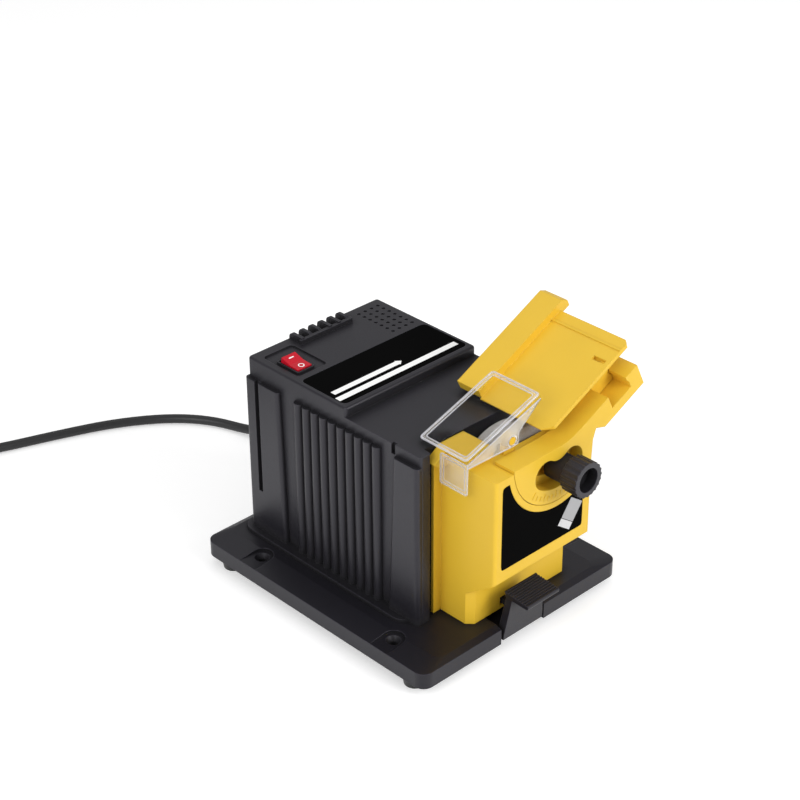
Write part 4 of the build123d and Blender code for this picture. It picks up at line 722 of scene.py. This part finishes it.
def turned(first, second, angle):
    """Two coordinates turned by an angle from the first towards the second."""
    return (
        first * np.cos(angle) - second * np.sin(angle),
        first * np.sin(angle) + second * np.cos(angle),
    )


def rocker_lay(end):
    """Lays flat signs on the rocker's rear (end 1) or front (end -1) face: y runs from its valley
    up the face's slope to that end, and the whole is tilted with the rocker."""
    def lay(flat):
        along, up = turned(flat[:, 1], flat[:, 2], ROCKER_FACE_SLOPE)
        back, up = turned(end * along, ROCKER_VALLEY + up, ROCKER_TILT)
        return ROCKER_MIDDLE + np.stack((end * flat[:, 0], back, up), axis=1)
    return lay


on_bar = rounded_outline((-0.0021, 0.0049), (0.0021, 0.0058), corner=0.0002, steps=3)
mesh_piece(
    "rocker_on_bar", *slab_from_outline(on_bar, ROCKER_INK_FOOT, ROCKER_INK_FACE, rocker_lay(1)),
    print_white, "rocker", "pale_plastic",
)
off_ring = ring_band(
    RING_CENTRE, RING_INNER, RING_OUTER, ROCKER_INK_FOOT, ROCKER_INK_FACE, rocker_lay(-1)
)
mesh_piece("rocker_off_ring", *off_ring, print_white, "rocker", "pale_plastic")

# Rounded rims on the clear shield: round the pane, the side panel, the flap and the pin's boss
SHIELD_LOW, SHIELD_HIGH = np.array((-0.0420, 0.1494)), np.array((0.0235, 0.1710))
SHIELD_REAR, SHIELD_FRONT = -0.0535, -0.0943
EDGE_RIM, STEP_RIM, INNER_RIM = 0.0007, 0.0005, 0.00035
RIM_STEP = 0.0028
RIM_LIFT = 0.0031
PANE_CORNER = 0.0018
FLAP_X = -0.0413
FLAP_LOW, FLAP_HIGH = np.array((SHIELD_FRONT, 0.1260)), np.array((-0.0703, 0.1486))
FLAP_CORNER, FLAP_INNER_CORNER = 0.0016, 0.0010
PIN_PLACE, BOSS_RADIUS, BOSS_STEPS = np.array((-0.0020, 0.1498)), 0.0036, 28
# the side panel's nose stands past the pin before it runs up to the pane's high end
PANEL_OUTLINE = np.array((
    (-0.0418, 0.1466), (-0.0050, 0.1456), (0.0036, 0.1456), (0.0040, 0.1540), (0.0233, 0.1702),
    (-0.0418, 0.1490),
))
shield_span = np.linalg.norm(SHIELD_HIGH - SHIELD_LOW)
shield_dir = (SHIELD_HIGH - SHIELD_LOW) / shield_span
shield_normal = np.array((-shield_dir[1], 0, shield_dir[0]))


def pane_loop(inset, lift):
    """A loop on the sloped pane, inset from its edges and lifted along its normal."""
    low, high = (inset, SHIELD_FRONT + inset), (shield_span - inset, SHIELD_REAR - inset)
    along, depth = rounded_outline(low, high, PANE_CORNER).T
    loop = np.stack((
        SHIELD_LOW[0] + along * shield_dir[0], depth, SHIELD_LOW[1] + along * shield_dir[1],
    ), axis=1)
    return loop + lift * shield_normal


def flap_loop(inset, corner):
    """A loop on the upright flap, inset from its edges."""
    flat = rounded_outline(FLAP_LOW + inset, FLAP_HIGH - inset, corner)
    return np.c_[np.full(len(flat), FLAP_X), flat]


def on_panel(pairs):
    """Places on the side panel's outer face, from x and height."""
    return np.c_[pairs[:, 0], np.full(len(pairs), SHIELD_FRONT), pairs[:, 1]]


def pane_band(inset, foot, top):
    """A flat frame on the pane's rim: the four corners of its section, carried round the pane."""
    section = ((inset, foot), (INNER_RIM, foot), (INNER_RIM, top), (inset, top))
    points = np.stack([pane_loop(edge, lift) for edge, lift in section], axis=1)
    return points.reshape(-1, 3), grid_faces(points.shape[0], len(section), True, True)


boss_angle = np.linspace(0, 2 * np.pi, BOSS_STEPS, endpoint=False)
boss_ring = PIN_PLACE + BOSS_RADIUS * np.stack((np.cos(boss_angle), np.sin(boss_angle)), axis=1)
rims = [
    rod_round(pane_loop(INNER_RIM, RIM_LIFT), shield_normal, EDGE_RIM, sides=12),
    rod_round(pane_loop(RIM_STEP, RIM_LIFT), shield_normal, INNER_RIM),
    rod_round(on_panel(PANEL_OUTLINE), (0, -1, 0), STEP_RIM),
    rod_round(flap_loop(STEP_RIM, FLAP_CORNER), (1, 0, 0), STEP_RIM, sides=12),
    rod_round(flap_loop(RIM_STEP, FLAP_INNER_CORNER), (1, 0, 0), INNER_RIM),
    rod_round(on_panel(boss_ring), (0, -1, 0), STEP_RIM),
]
mesh_piece("shield_rims", *joined(rims), clear_rim, "eye_shield", "clear_plastic", smooth=True)

# Thin skins that carry the shield's whitish veil, a painted reflection, on its panel, its rim and its
# flap
PANEL_SKIN_FOOT, PANEL_SKIN_FACE = -SHIELD_FRONT, -SHIELD_FRONT + 0.0002
RIM_SKIN_FOOT = RIM_LIFT - 0.0001
FLAP_SKIN_FOOT, FLAP_SKIN_FACE = 0.0420, 0.0422
mesh_piece(
    "shield_panel_skin",
    *slab_from_outline(PANEL_OUTLINE, PANEL_SKIN_FOOT, PANEL_SKIN_FACE, front_lay),
    painted_reflection_heavy, "eye_shield", "clear_plastic",
)
mesh_piece(
    "shield_rim_skin", *pane_band(RIM_STEP, RIM_SKIN_FOOT, RIM_LIFT), painted_reflection_light, "eye_shield",
    "clear_plastic",
)
flap_outline = rounded_outline(
    (-FLAP_HIGH[0], FLAP_LOW[1]), (-FLAP_LOW[0], FLAP_HIGH[1]), FLAP_CORNER
)
mesh_piece(
    "shield_flap_skin", *slab_from_outline(flap_outline, FLAP_SKIN_FOOT, FLAP_SKIN_FACE, left_lay),
    painted_reflection_light, "eye_shield", "clear_plastic",
)

# Floor and light
FLOOR_HALF = 6
FLOOR_LIFT = 0.36
AIR_LEVEL = 0.5


def make_floor_material():
    """A pale matt floor that the eye, mirrors and clear panes see a little brighter."""
    material, tree, shader = new_material("studio_floor")
    shader.inputs["Base Color"].default_value = (0.86, 0.86, 0.86, 1)
    shader.inputs["Roughness"].default_value = 0.9
    shader.inputs["Specular IOR Level"].default_value = 0.1
    shader.inputs["Emission Color"].default_value = (1, 1, 1, 1)
    rays = put(tree, "ShaderNodeLightPath").outputs
    seen = rays["Is Camera Ray"]
    for other in ("Is Glossy Ray", "Is Transmission Ray"):
        seen = put(
            tree, "ShaderNodeMath", [(0, seen), (1, rays[other])], operation="MAXIMUM"
        ).outputs[0]
    lift = put(tree, "ShaderNodeMath", [(0, seen), (1, FLOOR_LIFT)], operation="MULTIPLY")
    tree.links.new(lift.outputs[0], shader.inputs["Emission Strength"])
    return material


floor_corners = FLOOR_HALF * np.array(((-1, -1, 0), (1, -1, 0), (1, 1, 0), (-1, 1, 0)))
floor_mesh = bpy.data.meshes.new("studio_floor")
floor_mesh.from_pydata(floor_corners.tolist(), [], [(0, 1, 2, 3)])
floor_mesh.materials.append(make_floor_material())
studio_floor = bpy.data.objects.new("studio_floor", floor_mesh)
scene.collection.objects.link(studio_floor)

world = bpy.data.worlds.new("studio_air")
world.use_nodes = True
sky = world.node_tree.nodes["Background"]
sky.inputs["Color"].default_value = (1, 1, 1, 1)
sky.inputs["Strength"].default_value = AIR_LEVEL
scene.world = world


def soft_lamp(name, place, aim, size, power):
    """A square area lamp that points at a place."""
    lamp = bpy.data.lights.new(name, "AREA")
    lamp.size = size
    lamp.energy = power
    holder = bpy.data.objects.new(name, lamp)
    holder.location = place
    holder.rotation_euler = (Vector(aim) - Vector(place)).to_track_quat("-Z", "Y").to_euler()
    scene.collection.objects.link(holder)


soft_lamp("key_lamp", place=(0.5, -1.7, 1.1), aim=(0, -0.05, 0.1), size=1.0, power=23)
soft_lamp("side_lamp", place=(-1.6, -0.3, 1.0), aim=(0, 0, 0.1), size=1.2, power=16)
soft_lamp("top_lamp", place=(0.2, 0.9, 1.9), aim=(0, 0, 0.12), size=1.2, power=4)
